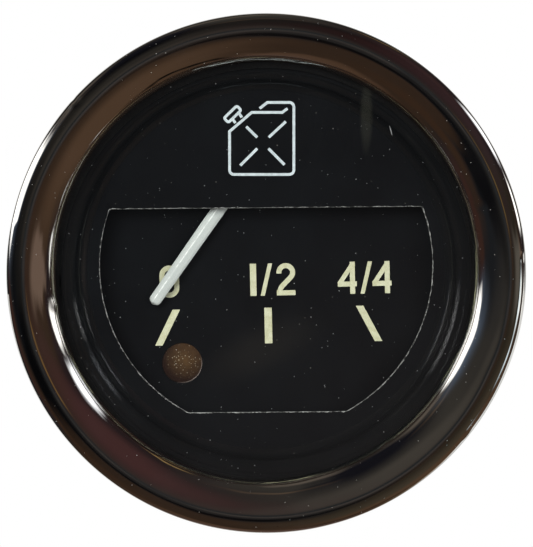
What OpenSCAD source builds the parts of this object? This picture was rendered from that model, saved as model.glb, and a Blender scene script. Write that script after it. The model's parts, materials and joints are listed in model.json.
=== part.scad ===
// Fuel gauge for a round panel hole, with a moving-iron movement and two lamps.
// The dial faces -Y, +Z is up, and +X is to the right of the reader.
// The origin is on the case axis, in the plane of the panel that the bezel seats on.

/* [Bezel] */
// Outer radius of the chromed bezel
bezel_r = 30; // [29:0.1:33]
// Width of the bezel's face, from its rim to the inner lip that presses on the glass
bezel_face_w = 5.7; // [5:0.1:6.4]
// Thickness of the bezel's sheet
bezel_t = 0.6; // [0.4:0.05:0.9]

/* [Glass and seal] */
// Thickness of the glass
lens_t = 1.8; // [1.4:0.1:2.6]
// Thickness of the rubber ring behind the glass
gasket_t = 0.8; // [0.5:0.1:1.5]
// How far the rubber ring shows inside the bezel's lip
gasket_show = 0.5; // [0:0.1:0.8]

/* [Trim ring and mask] */
// Depth of the trim ring, from the rubber ring to the mask
ring_depth = 2.7; // [2:0.1:4]
// Width of the trim ring's rim, under the rubber ring
ring_rim_w = 1.25; // [1:0.05:2]
// Width of the trim ring's flange, below its rim
ring_flange_w = 1.3; // [0.8:0.1:1.6]
// Width of the trim ring's cone, from its top to its foot
ring_cone_w = 1.5; // [1:0.1:2]
// Depth of the trim ring's flange below its rim
ring_flange_drop = 0.3; // [0.1:0.1:0.6]
// Wall of the moulded trim ring
ring_wall = 0.8; // [0.6:0.1:1.2]
// Thickness of the mask plate
mask_t = 0.6; // [0.4:0.1:1]
// Width of the mask that shows between the trim ring and the window's round sides
mask_show = 1.6; // [1:0.1:2.5]
// Height of the centre of those sides above the case axis
window_rise = 0.9; // [0:0.1:1.2]
// Turn of the window, counter-clockwise to the reader
window_turn = 0.5; // [0:0.1:1]
// Height of the window's top edge above the case axis
window_top_z = 7.6; // [6:0.1:8.6]
// Depth of the window's bottom edge below the case axis
window_bottom_z = 16.15; // [14:0.05:16.5]
// Corner radius of the window
window_corner_r = 0.6; // [0.2:0.1:1.5]

/* [Can symbol] */
// Width of the can's body
can_w = 7.5; // [6:0.1:8]
// Height of the can from its foot to its shoulder
can_h = 8.4; // [7:0.1:8.6]
// Gap between the can's top and the trim ring
can_top_gap = 1.1; // [0.8:0.1:1.6]
// Distance of the can's middle from the case axis, to the left
can_shift = 0.53; // [0:0.01:1]
// Width of the can's printed line
can_line = 0.32; // [0.2:0.01:0.5]
// Corner radius of the can
can_corner_r = 0.53; // [0.3:0.01:0.8]

/* [Dial] */
// Open depth between the mask and the dial
dial_gap = 3.2; // [3:0.1:4.5]
// Thickness of the dial plate
dial_t = 0.7; // [0.5:0.1:1]
// Width of the spacer ring between the mask and the dial
spacer_w = 2.2; // [1.5:0.1:3]
// Radius of the holes that let light in behind the mask
light_hole_r = 1.6; // [1:0.1:1.9]
// Distance of those light holes from the dial's edge
light_hole_edge = 4.65; // [4.2:0.05:5.2]
// Angle between neighbouring light holes
light_hole_step = 25; // [20:1:35]
// Distance of the dial screws from the dial's edge
dial_screw_edge = 5.05; // [4.6:0.05:6]
// Angle of the dial screws above the level through the case axis
dial_screw_angle = 31.7; // [30:0.1:35]
// Radius of a dial screw's thread
dial_screw_r = 1.2; // [0.9:0.1:1.4]
// Length of a dial screw under its head
dial_screw_len = 2.6; // [1.8:0.1:4]

/* [Print] */
// Thickness of the printed ink, drawn thick enough to be solid
ink_t = 0.08; // [0.05:0.01:0.15]
// Turn of the printed dial, counter-clockwise to the reader
print_turn = 1.2; // [0:0.1:2]
// Shift of the printed dial to the right
print_shift = 0.12; // [0:0.01:0.4]
// Height of the figures
figure_h = 3.78; // [3:0.01:4.2]
// Depth of the figures' foot below the case axis
figure_foot_z = 2.65; // [2:0.05:3]
// Line width of the figures
figure_line = 0.59; // [0.4:0.01:0.7]
// Width of the figure 2
two_w = 2.2; // [1.8:0.05:2.4]
// Width of a figure 4
four_w = 2.23; // [1.8:0.05:2.4]
// Height of a 4's crossbar above its foot
four_bar_z = 1.17; // [0.8:0.01:1.5]
// Distance of a 4's upright from its left edge
four_upright_x = 1.74; // [1.4:0.01:1.8]
// Width of the figure 0
zero_w = 2.31; // [1.8:0.01:2.6]
// Distance of the 0's middle from the dial's middle, to the left
zero_x = 11.51; // [11:0.01:12.5]
// Width of the stroke of the figure 1
one_w = 0.73; // [0.5:0.01:0.9]
// Distance of the left edge of the 1/2 from the dial's middle, to the left
half_x = 2.03; // [1.8:0.01:2.6]
// Distance of the left edge of the 4/4 from the dial's middle, to the right
full_x = 8.25; // [7.6:0.01:8.8]
// Width of a fraction's slanting stroke
slash_w = 0.49; // [0.3:0.01:0.6]
// Lean of a fraction's stroke, from foot to top
slash_lean = 0.94; // [0.5:0.01:1.2]
// Depth of the marks' top below the case axis
mark_top_z = 4.06; // [3.6:0.01:4.6]
// Height of the marks
mark_h = 4.19; // [3:0.01:4.6]
// Width of the marks, measured level
mark_w = 0.88; // [0.6:0.01:1.2]
// Distance of the outer marks' top from the dial's middle
mark_x = 10.76; // [10:0.01:11.2]
// Slant of the outer marks from upright
mark_slant = 27; // [20:0.5:32]

/* [Pointer] */
// Height of the pointer's pivot above the case axis
pivot_z = 15.4; // [15:0.1:16.2]
// Length of the pointer from its pivot to its tip
pointer_len = 23.25; // [22:0.05:25]
// Width of the pointer at its root
pointer_root_w = 1.72; // [1.4:0.01:2]
// Width of the pointer at its tip
pointer_tip_w = 1.4; // [1:0.01:1.7]
// Height of the pointer's ridge over its flat back
pointer_t = 0.9; // [0.6:0.05:1.1]
// Height of the pointer's edges over its flat back
pointer_edge_t = 0.35; // [0.2:0.05:0.5]
// Radius of the round boss at the pointer's root
pointer_boss_r = 2.4; // [1.9:0.1:3]
// Angle that the pointer turns through between its stops
pointer_sweep = 70; // [60:1:76]
// Radius of the pointer shaft
shaft_r = 0.5; // [0.4:0.05:0.7]
// Radius of the two stop pins
stop_pin_r = 0.4; // [0.3:0.05:0.6]
// Distance of the stop pins from the pivot
stop_dist = 6.5; // [5.5:0.1:7]

/* [Balance] */
// Distance of the counterweight's middle from the pivot
weight_dist = 4.5; // [4:0.1:4.8]
// Radius of the counterweight
weight_r = 1.4; // [1.2:0.05:1.7]
// Thickness of the balance arm
arm_t = 0.5; // [0.3:0.05:0.8]
// Width of the balance arm
arm_w = 1.2; // [0.8:0.1:1.6]

/* [Movement] */
// Thickness of the movement's front plate
frame_t = 1; // [0.8:0.1:1.5]
// Thickness of the rear bridge
bridge_t = 1; // [0.8:0.1:1.5]
// Length of the bridge screws' thread in the pillars
bridge_screw_len = 3; // [2:0.5:5]
// Width of the rear bridge
bridge_w = 4; // [3.4:0.1:5]
// Radius of the bridge's two pillars
bridge_pillar_r = 1.6; // [1.3:0.1:1.9]
// Distance of each bridge pillar from the middle, to the side
bridge_pillar_x = 8.5; // [8:0.1:9.5]
// Height of the bridge pillars above the pivot
bridge_pillar_rise = 3.2; // [2.8:0.1:4]
// Outer radius of the two bearing bushes
bush_r = 1.4; // [1.2:0.1:1.7]
// Length of the soft-iron armature along the shaft
armature_len = 4; // [3:0.1:6]
// Reach of the armature from the pivot
armature_r = 2.9; // [2:0.1:3]
// Width of the armature's vane
armature_w = 1.7; // [1.4:0.1:2.2]

/* [Coils] */
// Radius of a coil bobbin's flanges
bobbin_r = 4.5; // [3.8:0.1:4.6]
// Length of a coil bobbin
bobbin_len = 9; // [7:0.1:10]
// Distance of a bobbin's inner end from the pivot
bobbin_start = 5.7; // [5.6:0.1:6.5]
// Thickness of a bobbin's flanges
bobbin_flange_t = 0.8; // [0.5:0.1:1.2]
// Radius of the winding
winding_r = 4.1; // [3:0.1:4.2]
// Radius of the bobbin's tube
bobbin_tube_r = 2.2; // [1.9:0.1:2.6]
// Radius of the soft-iron cores
core_r = 1.5; // [1.2:0.1:1.7]
// Distance of a core's pole end from the pivot
core_start = 3.4; // [3.3:0.1:4.5]
// Width of the frame lugs that carry the cores
lug_w = 8; // [6:0.1:9]
// Thickness of the frame lugs
lug_t = 1; // [0.8:0.1:1.5]
// Radius of the coil leads
lead_r = 0.35; // [0.25:0.05:0.5]

/* [Case] */
// Outer radius of the case, for a 52 mm panel hole
case_r = 25.9; // [25.4:0.1:26.4]
// Thickness of the case's sheet
case_t = 0.7; // [0.5:0.05:1]
// Depth of the case behind the panel
case_depth = 36; // [34:0.5:46]
// Outside corner radius at the back of the case
case_corner_r = 3; // [1.5:0.5:4]
// Distance of each frame pillar from the middle, to the side
pillar_x = 18; // [17:0.1:19]
// Depth of the frame pillars below the case axis
pillar_z = 4; // [3:0.1:5]
// Radius of the frame pillars
pillar_r = 2.2; // [1.9:0.1:2.6]
// Radius of the case screws' thread
case_screw_r = 1.5; // [1.2:0.1:1.6]
// Radius of the case screws' heads
case_screw_head_r = 2.8; // [2.3:0.1:3.1]

/* [Terminals] */
// Width of the terminal board
board_w = 20; // [19:0.5:22]
// Height of the terminal board
board_h = 8.5; // [8:0.1:9]
// Thickness of the terminal board
board_t = 1.6; // [1:0.1:2.5]
// Height of the terminal board's lower edge above the case axis
board_z = 11; // [10.6:0.1:11.5]
// Distance of each spade terminal from the middle
spade_x = 5.5; // [4.5:0.1:6]
// Width of the spade terminals
spade_w = 6.3; // [4.8:0.1:6.3]
// Thickness of the spade terminals
spade_t = 0.8; // [0.5:0.1:1]
// Free length of the spade terminals
spade_len = 9; // [7:0.5:11]
// Radius of the terminal rivets
rivet_r = 1.5; // [1.1:0.1:1.7]
// Radius of the terminal rivets' heads
rivet_head_r = 2.4; // [2.1:0.1:2.6]

/* [Studs] */
// Distance of each mounting stud from the middle, to the side
stud_x = 16.5; // [15.8:0.1:17]
// Height of the mounting studs above the case axis
stud_z = 5; // [4.5:0.1:5.5]
// Radius of the mounting studs' thread
stud_r = 2; // [1.5:0.1:2.2]
// Radius of the studs' shank, from the case to the clamp thread
stud_neck_r = 1.6; // [1.2:0.1:1.8]
// Length of that shank behind the nut
stud_neck_len = 0.8; // [0.4:0.1:1.5]
// Free length of the studs behind the case
stud_len = 17; // [12:0.5:25]
// Width of the stud nuts across their flats
nut_flats = 7; // [6.5:0.1:7.2]
// Height of the stud nuts
nut_h = 3.2; // [2.4:0.1:4]
// Radius of the stud washers
washer_r = 4; // [3.6:0.1:4.3]
// Thickness of the stud washers
washer_t = 0.8; // [0.5:0.1:1.2]

/* [Lamps] */
// Distance of each lamp from the middle, to the side
lamp_x = 9.85; // [9.4:0.05:10.2]
// Depth of the lamps below the case axis
lamp_z = 10.55; // [10.2:0.05:11]
// Radius of the warning lens, as seen in the dial
warning_r = 2.35; // [2:0.05:2.6]
// Radius of the warning lens's hidden flange
warning_flange_r = 3; // [2.8:0.05:3.2]
// Outer radius of the light tube
light_tube_r = 4.4; // [4.2:0.1:4.8]
// Length of the light tube
light_tube_len = 17; // [12:0.5:18]
// Radius of the lamp bulbs' glass
bulb_r = 3.2; // [2.6:0.1:3.3]
// Length of the lamp bulbs' glass
bulb_len = 11; // [8:0.5:12]
// Radius of the lamp bulbs' caps
bulb_cap_r = 3.5; // [3:0.1:3.7]
// Length of the lamp bulbs' caps
bulb_cap_len = 9; // [7:0.5:11]
// Outer radius of the lamp holders' sleeves
holder_r = 5; // [4.6:0.1:5.4]
// Radius of the lamp holders' flanges
holder_flange_r = 6.4; // [6:0.1:6.7]
// Thickness of the lamp holders' flanges
holder_flange_t = 0.9; // [0.6:0.1:1.5]
// Length of a lamp holder behind the case
holder_tail = 6; // [5:0.5:9]
// Length of a lamp holder inside the case
holder_reach = 9; // [7:0.5:10]
// Width of the lamp contacts
lamp_spade_w = 4.8; // [2.8:0.1:6.3]

/* [Clearances] */
// Gap round the discs inside the case
disc_gap = 0.15; // [0.05:0.01:0.3]
// Gap between the bezel and what it holds, all round
shell_gap = 0.25; // [0.1:0.01:0.4]
// Radial gap round a screw, stud, pillar or lamp in its hole
hole_gap = 0.1; // [0.05:0.01:0.2]
// Radial gap of pieces that are pressed or screwed together
press_gap = 0.02; // [0.01:0.005:0.04]
// Radial running gap of the pointer shaft in its bearings
run_gap = 0.04; // [0.02:0.01:0.08]
// Gap between the pointer and a stop pin when it rests there
stop_gap = 0.05; // [0.02:0.01:0.1]
// Free space in front of or behind a moving piece
free_gap = 0.4; // [0.3:0.05:0.5]

/* [Hidden] */
$fn = 64;
cut = 1;

// Places along the case axis, from the panel plane forwards
flange_back_y = -bezel_t;
flange_front_y = flange_back_y - case_t;
lens_back_y = flange_front_y - gasket_t;
lens_front_y = lens_back_y - lens_t;

// Places along the case axis, from the case's flange backwards
mask_front_y = flange_front_y + ring_depth;
mask_back_y = mask_front_y + mask_t;
dial_front_y = mask_back_y + dial_gap;
dial_back_y = dial_front_y + dial_t;
frame_back_y = dial_back_y + frame_t;
case_inner_y = case_depth - case_t;

// Radii that follow the case and the bezel
case_bore_r = case_r - case_t;
disc_r = case_bore_r - disc_gap;
flange_r = bezel_r - bezel_t - shell_gap;
flange_bend = 0.8 * shell_gap;
bezel_lip_r = bezel_r - bezel_face_w;
ring_rim_r = disc_r - ring_rim_w;
ring_step_r = ring_rim_r - ring_flange_w;
ring_foot_r = ring_step_r - ring_cone_w;
window_r = ring_foot_r - mask_show;
light_hole_pcd_r = disc_r - light_hole_edge;
dial_screw_x = (disc_r - dial_screw_edge) * cos(dial_screw_angle);
dial_screw_z = (disc_r - dial_screw_edge) * sin(dial_screw_angle);
can_foot_z = ring_foot_r - can_top_gap - can_h;
roll_r = (bezel_r - bezel_lip_r) / 2;
roll_mid_r = (bezel_r + bezel_lip_r) / 2;

// The pointer lies in the middle of the open depth, its hub behind it
hub_front_y = mask_back_y + 1.2 * free_gap;
boss_t = pointer_t * 2 / 3;
pointer_back_y = dial_front_y - dial_gap / 3;
boss_front_y = pointer_back_y - boss_t;
hub_collar_t = dial_front_y - pointer_back_y - free_gap;
hub_neck_r = shaft_r + 0.5;
hub_cap_r = hub_neck_r + 0.35;
hub_collar_r = hub_neck_r + 0.6;
blade_start = hub_cap_r + 0.15;
shaft_front_y = hub_front_y - 0.1;

// The balance: the arm stands level to the right when the pointer is halfway to full
bush_flange_t = 0.4;
bush_flange_r = bush_r + 0.6;
arm_y = frame_back_y + bush_flange_t + free_gap;
arm_hub_r = shaft_r + 0.9;
balance_angle = 45;
pointer_density = 1.1;
brass_density = 8.5;
blade_area = (pointer_root_w + pointer_tip_w) / 2 * (pointer_t + pointer_edge_t) / 2;
pointer_moment = pointer_density * blade_area * (pow(pointer_len, 2) - pow(blade_start, 2)) / 2;
arm_moment = brass_density * arm_t * arm_w * (pow(weight_dist, 2) - pow(arm_hub_r, 2)) / 2;
weight_moment = pointer_moment / sin(balance_angle) - arm_moment;
weight_len = weight_moment / (brass_density * PI * pow(weight_r, 2) * weight_dist);

// The coils lie behind the balance weight, and the bridge behind the coils
coil_y = arm_y + arm_t + weight_len + free_gap + bobbin_r;
bridge_y = coil_y + bobbin_r + 3 * free_gap;
bridge_back_y = bridge_y + bridge_t;
shaft_back_y = bridge_back_y + 0.3;
bobbin_end = bobbin_start + bobbin_len;
coil_angle = 135;
bridge_pillar_z = pivot_z + bridge_pillar_rise;
bridge_screw_head_t = 1;

// Half the pointer's width at a distance from the pivot
function pointer_half_w(dist) = (pointer_root_w + (pointer_tip_w - pointer_root_w) * dist / pointer_len) / 2;

// Rest angle of the pointer from straight down, and the angle of the stop pins beyond it
rest_angle = pointer_sweep / 2;
stop_lead = asin((pointer_half_w(stop_dist) + stop_pin_r + stop_gap) / stop_dist);
stop_pin_front_y = boss_front_y - 0.5;

// Screws and rivets
dial_screw_head_r = dial_screw_r + 0.6;
dial_screw_head_t = 0.8;
case_screw_head_t = 1.8;
case_screw_len = 7;
slot_w = 0.6;
stud_head_t = 1.2;
stud_head_r = stud_r + 1.1;
nut_r = nut_flats / 2 / cos(30);
rivet_head_t = 0.5;

// Terminals: what lies behind and in front of the case's back sheet
board_back_y = case_depth + board_t;
spade_back_y = board_back_y + spade_t;
bush_wall = 0.8;
inner_washer_t = 0.6;
tag_t = 0.5;
tag_back_y = case_inner_y - inner_washer_t;
tag_front_y = tag_back_y - tag_t;
rivet_z = board_z + board_h / 2 - 1;
spade_top_z = board_z + board_h - 0.5;
tag_len = 3.2;
lead_end_z = rivet_z - rivet_head_r - lead_r - 0.2;
lead_bend_y = bridge_back_y + 2.5;

// Lamps: the cap stands in the holder and the glass before it
holder_front_y = case_inner_y - holder_reach;
holder_bore_r = bulb_cap_r + hole_gap;
holder_back_y = case_depth + holder_flange_t + holder_tail;
cap_back_y = holder_back_y - 1;
cap_front_y = cap_back_y - bulb_cap_len;
lamp_pip_r = 1.1;
pip_h = 0.6;

// A profile of radius and depth, turned round the case axis
module revolve_y() {
    rotate([-90, 0, 0]) rotate_extrude() children();
}

// A flat shape of width and height, given its thickness from y0 back to y1
module plate_y(y0, y1) {
    translate([0, y1, 0]) rotate([90, 0, 0]) linear_extrude(y1 - y0) children();
}

// A round rod along the case axis
module rod_y(r, y0, y1) {
    translate([0, y0, 0]) rotate([-90, 0, 0]) cylinder(r = r, h = y1 - y0);
}

// A round tube along the case axis
module tube_y(r_out, r_in, y0, y1) {
    difference() {
        rod_y(r_out, y0, y1);
        rod_y(r_in, y0 - cut, y1 + cut);
    }
}

// A round head with a screwdriver slot in the end that lies at slot_y
module slotted_head(r, y0, y1, slot_y) {
    difference() {
        rod_y(r, y0, y1);
        translate([-r - cut, slot_y - slot_w, -slot_w / 2]) cube([2 * (r + cut), 2 * slot_w, slot_w]);
    }
}

// Where pieces stand, seen from the front
module at_pivot() {
    translate([0, 0, pivot_z]) children();
}
module at_sides(x, z) {
    for (side = [-1, 1]) translate([side * x, 0, z]) children();
}
module with_pointer() {
    at_pivot() rotate([0, rest_angle, 0]) children();
}
module on_coil(side) {
    translate([0, coil_y, pivot_z]) rotate([0, side * coil_angle, 0]) children();
}
module at_stops() {
    for (side = [-1, 1])
        at_pivot() rotate([0, side * (rest_angle + stop_lead), 0]) translate([0, 0, -stop_dist]) children();
}
module at_light_holes() {
    for (i = [-1 : 1])
        rotate([0, i * light_hole_step, 0]) translate([0, 0, -light_hole_pcd_r]) children();
}

// Points on an arc about c, from angle a0 to a1
function arc(c, r, a0, a1, n = 8) =
    [for (i = [0 : n]) let (a = a0 + (a1 - a0) * i / n) c + r * [cos(a), sin(a)]];

// A path moved sideways by d, with mitred bends
function left_of(v) = [-v[1], v[0]] / norm(v);
function mitre(n0, n1, d) = (n0 + n1) * d / (1 + n0 * n1);
function beside(p, d) = [for (i = [0 : len(p) - 1]) let (
    n0 = left_of(p[max(i, 1)] - p[max(i, 1) - 1]),
    n1 = left_of(p[min(i + 1, len(p) - 1)] - p[min(i + 1, len(p) - 1) - 1])
) p[i] + mitre(n0, n1, d)];
function backwards(p) = [for (i = [len(p) - 1 : -1 : 0]) p[i]];

// A printed line of even width along a path
module stroke(p, w) {
    polygon(concat(beside(p, -w / 2), backwards(beside(p, w / 2))));
}

// An upright shape with round ends
function stadium(w, h) = concat(
    arc([0, h - w / 2], w / 2, 0, 180, 16),
    arc([0, w / 2], w / 2, 180, 360, 16)
);

// Front of the gauge
module bezel() {
    color("#8c8880") revolve_y() union() {
        intersection() {
            translate([roll_mid_r, lens_front_y]) difference() {
                circle(r = roll_r);
                circle(r = roll_r - bezel_t);
            }
            translate([0, lens_front_y - roll_r - cut]) square([bezel_r + cut, roll_r + cut]);
        }
        translate([bezel_r - bezel_t, lens_front_y]) square([bezel_t, -lens_front_y]);
        translate([case_r + shell_gap, -bezel_t]) square([bezel_r - case_r - shell_gap, bezel_t]);
    }
}

module lens() {
    color("#c8d2d2", 0.25) rod_y(flange_r, lens_front_y, lens_back_y);
}

module lens_gasket() {
    color("#1b1b1b") tube_y(flange_r - bezel_t, bezel_lip_r - gasket_show, lens_back_y, flange_front_y);
}

module trim_ring() {
    web_y = mask_front_y - ring_depth / 2;
    color("#121314") revolve_y() polygon([
        [disc_r, flange_front_y],
        [ring_rim_r, flange_front_y],
        [ring_rim_r, flange_front_y + ring_flange_drop],
        [ring_step_r, flange_front_y + ring_flange_drop],
        [ring_foot_r, mask_front_y],
        [ring_foot_r + ring_wall, mask_front_y],
        [ring_step_r + ring_wall / 2, web_y],
        [disc_r - ring_wall, web_y],
        [disc_r - ring_wall, mask_front_y],
        [disc_r, mask_front_y]
    ]);
}

// The window: a circle cut off level above and below, with rounded corners
module window_shape() {
    rotate(window_turn) offset(r = window_corner_r) offset(delta = -window_corner_r) intersection() {
        translate([0, window_rise]) circle(r = window_r, $fn = 128);
        translate([-window_r, -window_bottom_z]) square([2 * window_r, window_top_z + window_bottom_z]);
    }
}

module mask_plate() {
    color("#1b1e1f") plate_y(mask_front_y, mask_back_y) difference() {
        circle(r = disc_r);
        window_shape();
    }
}

// The can's cap: a line round a rounded oblong
module can_cap(size) {
    difference() {
        oblong(size, can_corner_r * 0.7);
        oblong(size - 2 * [can_line, can_line], can_corner_r * 0.2);
    }
}
module oblong(size, r) {
    half = size / 2 - [r, r];
    polygon(concat(
        arc(half, r, 0, 90, 4), arc([-half[0], half[1]], r, 90, 180, 4),
        arc(-half, r, 180, 270, 4), arc([half[0], -half[1]], r, 270, 360, 4)
    ));
}

// Outline of a fuel can: handle, shoulder, body, cap and the pressed cross on its side
module can_lines() {
    w = can_w;
    h = can_h;
    r = can_corner_r;
    outline = concat(
        [[0.468 * w, 0.917 * h], [0.589 * w, h]],
        arc([w - r, h - r], r, 90, 0),
        arc([w - r, r], r, 0, -90),
        arc([r, r], r, 270, 180),
        [[0, h - 0.403 * h], [0.345 * w, h - 0.138 * h], [0.819 * w, h - 0.138 * h], [0.9 * w, 0.917 * h]]
    );
    stroke(outline, can_line);
    stroke([[0.139 * w, 0.861 * h], [0.192 * w, 0.792 * h]], can_line);
    stroke([[0.04 * w, 0.779 * h], [0.092 * w, 0.714 * h]], can_line);
    translate([0.047 * w, 0.837 * h]) rotate(44) can_cap([0.32 * w, 0.14 * w]);
    for (arm = [[0.26, 0.665, 0.43, 0.515], [0.875, 0.735, 0.61, 0.515],
                [0.43, 0.36, 0.167, 0.125], [0.605, 0.36, 0.855, 0.135]])
        stroke([[arm[0] * w, arm[1] * h], [arm[2] * w, arm[3] * h]], can_line);
}

module can_symbol() {
    color("#c9d4d6") plate_y(mask_front_y - ink_t, mask_front_y)
        translate([-can_w / 2 - can_shift, can_foot_z]) can_lines();
}

module dial_spacer() {
    color("#202122") tube_y(disc_r, disc_r - spacer_w, mask_back_y, dial_front_y);
}

// Dial and what is fixed to it
module dial_plate() {
    color("#181719") difference() {
        rod_y(disc_r, dial_front_y, dial_back_y);
        at_pivot() rod_y(hub_collar_r + free_gap, dial_front_y - cut, dial_back_y + cut);
        at_stops() rod_y(stop_pin_r + hole_gap, dial_front_y - cut, dial_back_y + cut);
        at_sides(dial_screw_x, dial_screw_z) rod_y(dial_screw_r + hole_gap, dial_front_y - cut, dial_back_y + cut);
        at_light_holes() rod_y(light_hole_r, dial_front_y - cut, dial_back_y + cut);
        translate([-lamp_x, 0, -lamp_z]) rod_y(warning_r + press_gap, dial_front_y - cut, dial_back_y + cut);
    }
}

module figure_one() {
    square([one_w, figure_h]);
}
module figure_two() {
    bowl_r = (two_w - figure_line) / 2;
    bowl_mid = [two_w / 2, figure_h - two_w / 2];
    bowl_end = bowl_mid + bowl_r * [cos(45), -sin(45)];
    // The neck runs down at 45 degrees and bends upright above the left end of the foot
    neck_r = 0.66 * two_w;
    neck_mid_x = 0.55 * figure_line + neck_r;
    neck_mid_z = bowl_end[1] - bowl_end[0] + neck_mid_x - 2 * neck_r * cos(45);
    union() {
        stroke(concat(
            arc(bowl_mid, bowl_r, 188, -45, 16),
            arc([neck_mid_x, neck_mid_z], neck_r, 135, 178, 6)
        ), figure_line);
        square([two_w, figure_line]);
    }
}
module figure_four() {
    foot = [0.3 * figure_line, four_bar_z];
    top = [four_upright_x, figure_h - figure_line / 2];
    union() {
        translate([four_upright_x - figure_line / 2, 0]) square([figure_line, figure_h]);
        translate([0, four_bar_z - figure_line / 2]) square([four_w, figure_line]);
        stroke([foot, top], figure_line * 0.9);
    }
}
module figure_zero() {
    difference() {
        polygon(stadium(zero_w, figure_h));
        translate([0, figure_line])
            polygon(stadium(zero_w - 2 * figure_line, figure_h - 2 * figure_line));
    }
}
module slash() {
    polygon([[0, 0], [slash_w, 0], [slash_w + slash_lean, figure_h], [slash_lean, figure_h]]);
}
module figures() {
    translate([-zero_x, 0]) figure_zero();
    translate([-half_x, 0]) {
        figure_one();
        translate([0.22 * figure_h + one_w / 2, 0]) slash();
        translate([0.82 * figure_h, 0]) figure_two();
    }
    translate([full_x, 0]) {
        figure_four();
        translate([four_w + 0.41, 0]) slash();
        translate([2 * four_w - 0.38, 0]) figure_four();
    }
}
module mark(top_x, run) {
    translate([top_x, -mark_top_z]) polygon([
        [mark_w / 2, 0], [-mark_w / 2, 0], [run - mark_w / 2, -mark_h], [run + mark_w / 2, -mark_h]
    ]);
}
module dial_print() {
    run = mark_h * tan(mark_slant);
    color("#c9caac") plate_y(dial_front_y - ink_t, dial_front_y) translate([print_shift, 0]) rotate(print_turn) {
        translate([0, -figure_foot_z]) figures();
        mark(0, 0);
        mark(-mark_x, -run);
        mark(mark_x, run);
    }
}

module dial_screws() {
    color("#8a8577") at_sides(dial_screw_x, dial_screw_z) union() {
        slotted_head(dial_screw_head_r, dial_front_y - dial_screw_head_t, dial_front_y,
            dial_front_y - dial_screw_head_t);
        rod_y(dial_screw_r, dial_front_y, dial_front_y + dial_screw_len);
    }
}

module warning_lens() {
    dome_h = 0.35;
    dome_r = (pow(warning_r, 2) + pow(dome_h, 2)) / (2 * dome_h);
    half_angle = asin(warning_r / dome_r);
    color("#4a2c10") translate([-lamp_x, 0, -lamp_z]) revolve_y() polygon(concat(
        arc([0, dial_front_y - dome_h + dome_r], dome_r, 270, 270 + half_angle),
        [[warning_r, dial_back_y], [warning_flange_r, dial_back_y],
         [warning_flange_r, frame_back_y], [0, frame_back_y]]
    ));
}

module stop_pins() {
    color("#9a9a94") at_stops() rod_y(stop_pin_r, stop_pin_front_y, frame_back_y);
}

// Pieces that turn with the pointer
module pointer() {
    tip_r = pointer_tip_w / 2;
    color("#d6dad6") with_pointer() difference() {
        union() {
            plate_y(boss_front_y, pointer_back_y) circle(r = pointer_boss_r);
            intersection() {
                plate_y(pointer_back_y - pointer_t - cut, pointer_back_y + cut) polygon(concat(
                    [[pointer_half_w(blade_start), -blade_start], [-pointer_half_w(blade_start), -blade_start]],
                    arc([0, -pointer_len + tip_r], tip_r, -180, 0, 12)
                ));
                translate([0, 0, -pointer_len - cut]) linear_extrude(pointer_len + 2 * cut) polygon([
                    [-pointer_root_w / 2, pointer_back_y],
                    [-pointer_root_w / 2, pointer_back_y - pointer_edge_t],
                    [0, pointer_back_y - pointer_t],
                    [pointer_root_w / 2, pointer_back_y - pointer_edge_t],
                    [pointer_root_w / 2, pointer_back_y]
                ]);
            }
        }
        rod_y(hub_neck_r + press_gap, hub_front_y, pointer_back_y + cut);
    }
}

module pointer_hub() {
    color("#b08d4a") at_pivot() difference() {
        union() {
            rod_y(hub_cap_r, hub_front_y, boss_front_y);
            rod_y(hub_neck_r, boss_front_y, pointer_back_y);
            rod_y(hub_collar_r, pointer_back_y, pointer_back_y + hub_collar_t);
        }
        rod_y(shaft_r + press_gap, hub_front_y - cut, pointer_back_y + hub_collar_t + cut);
    }
}

module pointer_shaft() {
    color("#a9abac") at_pivot() rod_y(shaft_r, shaft_front_y, shaft_back_y);
}

module armature() {
    y0 = coil_y - armature_len / 2;
    color("#6d6a66") with_pointer() difference() {
        union() {
            rod_y(shaft_r + 0.7, y0, y0 + armature_len);
            plate_y(y0, y0 + armature_len) intersection() {
                circle(r = armature_r);
                square([2 * armature_r, armature_w], center = true);
            }
        }
        rod_y(shaft_r + press_gap, y0 - cut, y0 + armature_len + cut);
    }
}

module balance_arm() {
    color("#b08d4a") with_pointer() difference() {
        plate_y(arm_y, arm_y + arm_t) union() {
            circle(r = arm_hub_r);
            rotate(balance_angle) translate([0, -arm_w / 2]) square([weight_dist, arm_w]);
            rotate(balance_angle) translate([weight_dist, 0]) circle(r = arm_w * 0.7);
        }
        rod_y(shaft_r + press_gap, arm_y - cut, arm_y + arm_t + cut);
    }
}

module counterweight() {
    color("#b08d4a") with_pointer() rotate([0, -balance_angle, 0]) translate([weight_dist, 0, 0])
        rod_y(weight_r, arm_y + arm_t, arm_y + arm_t + weight_len);
}

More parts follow.
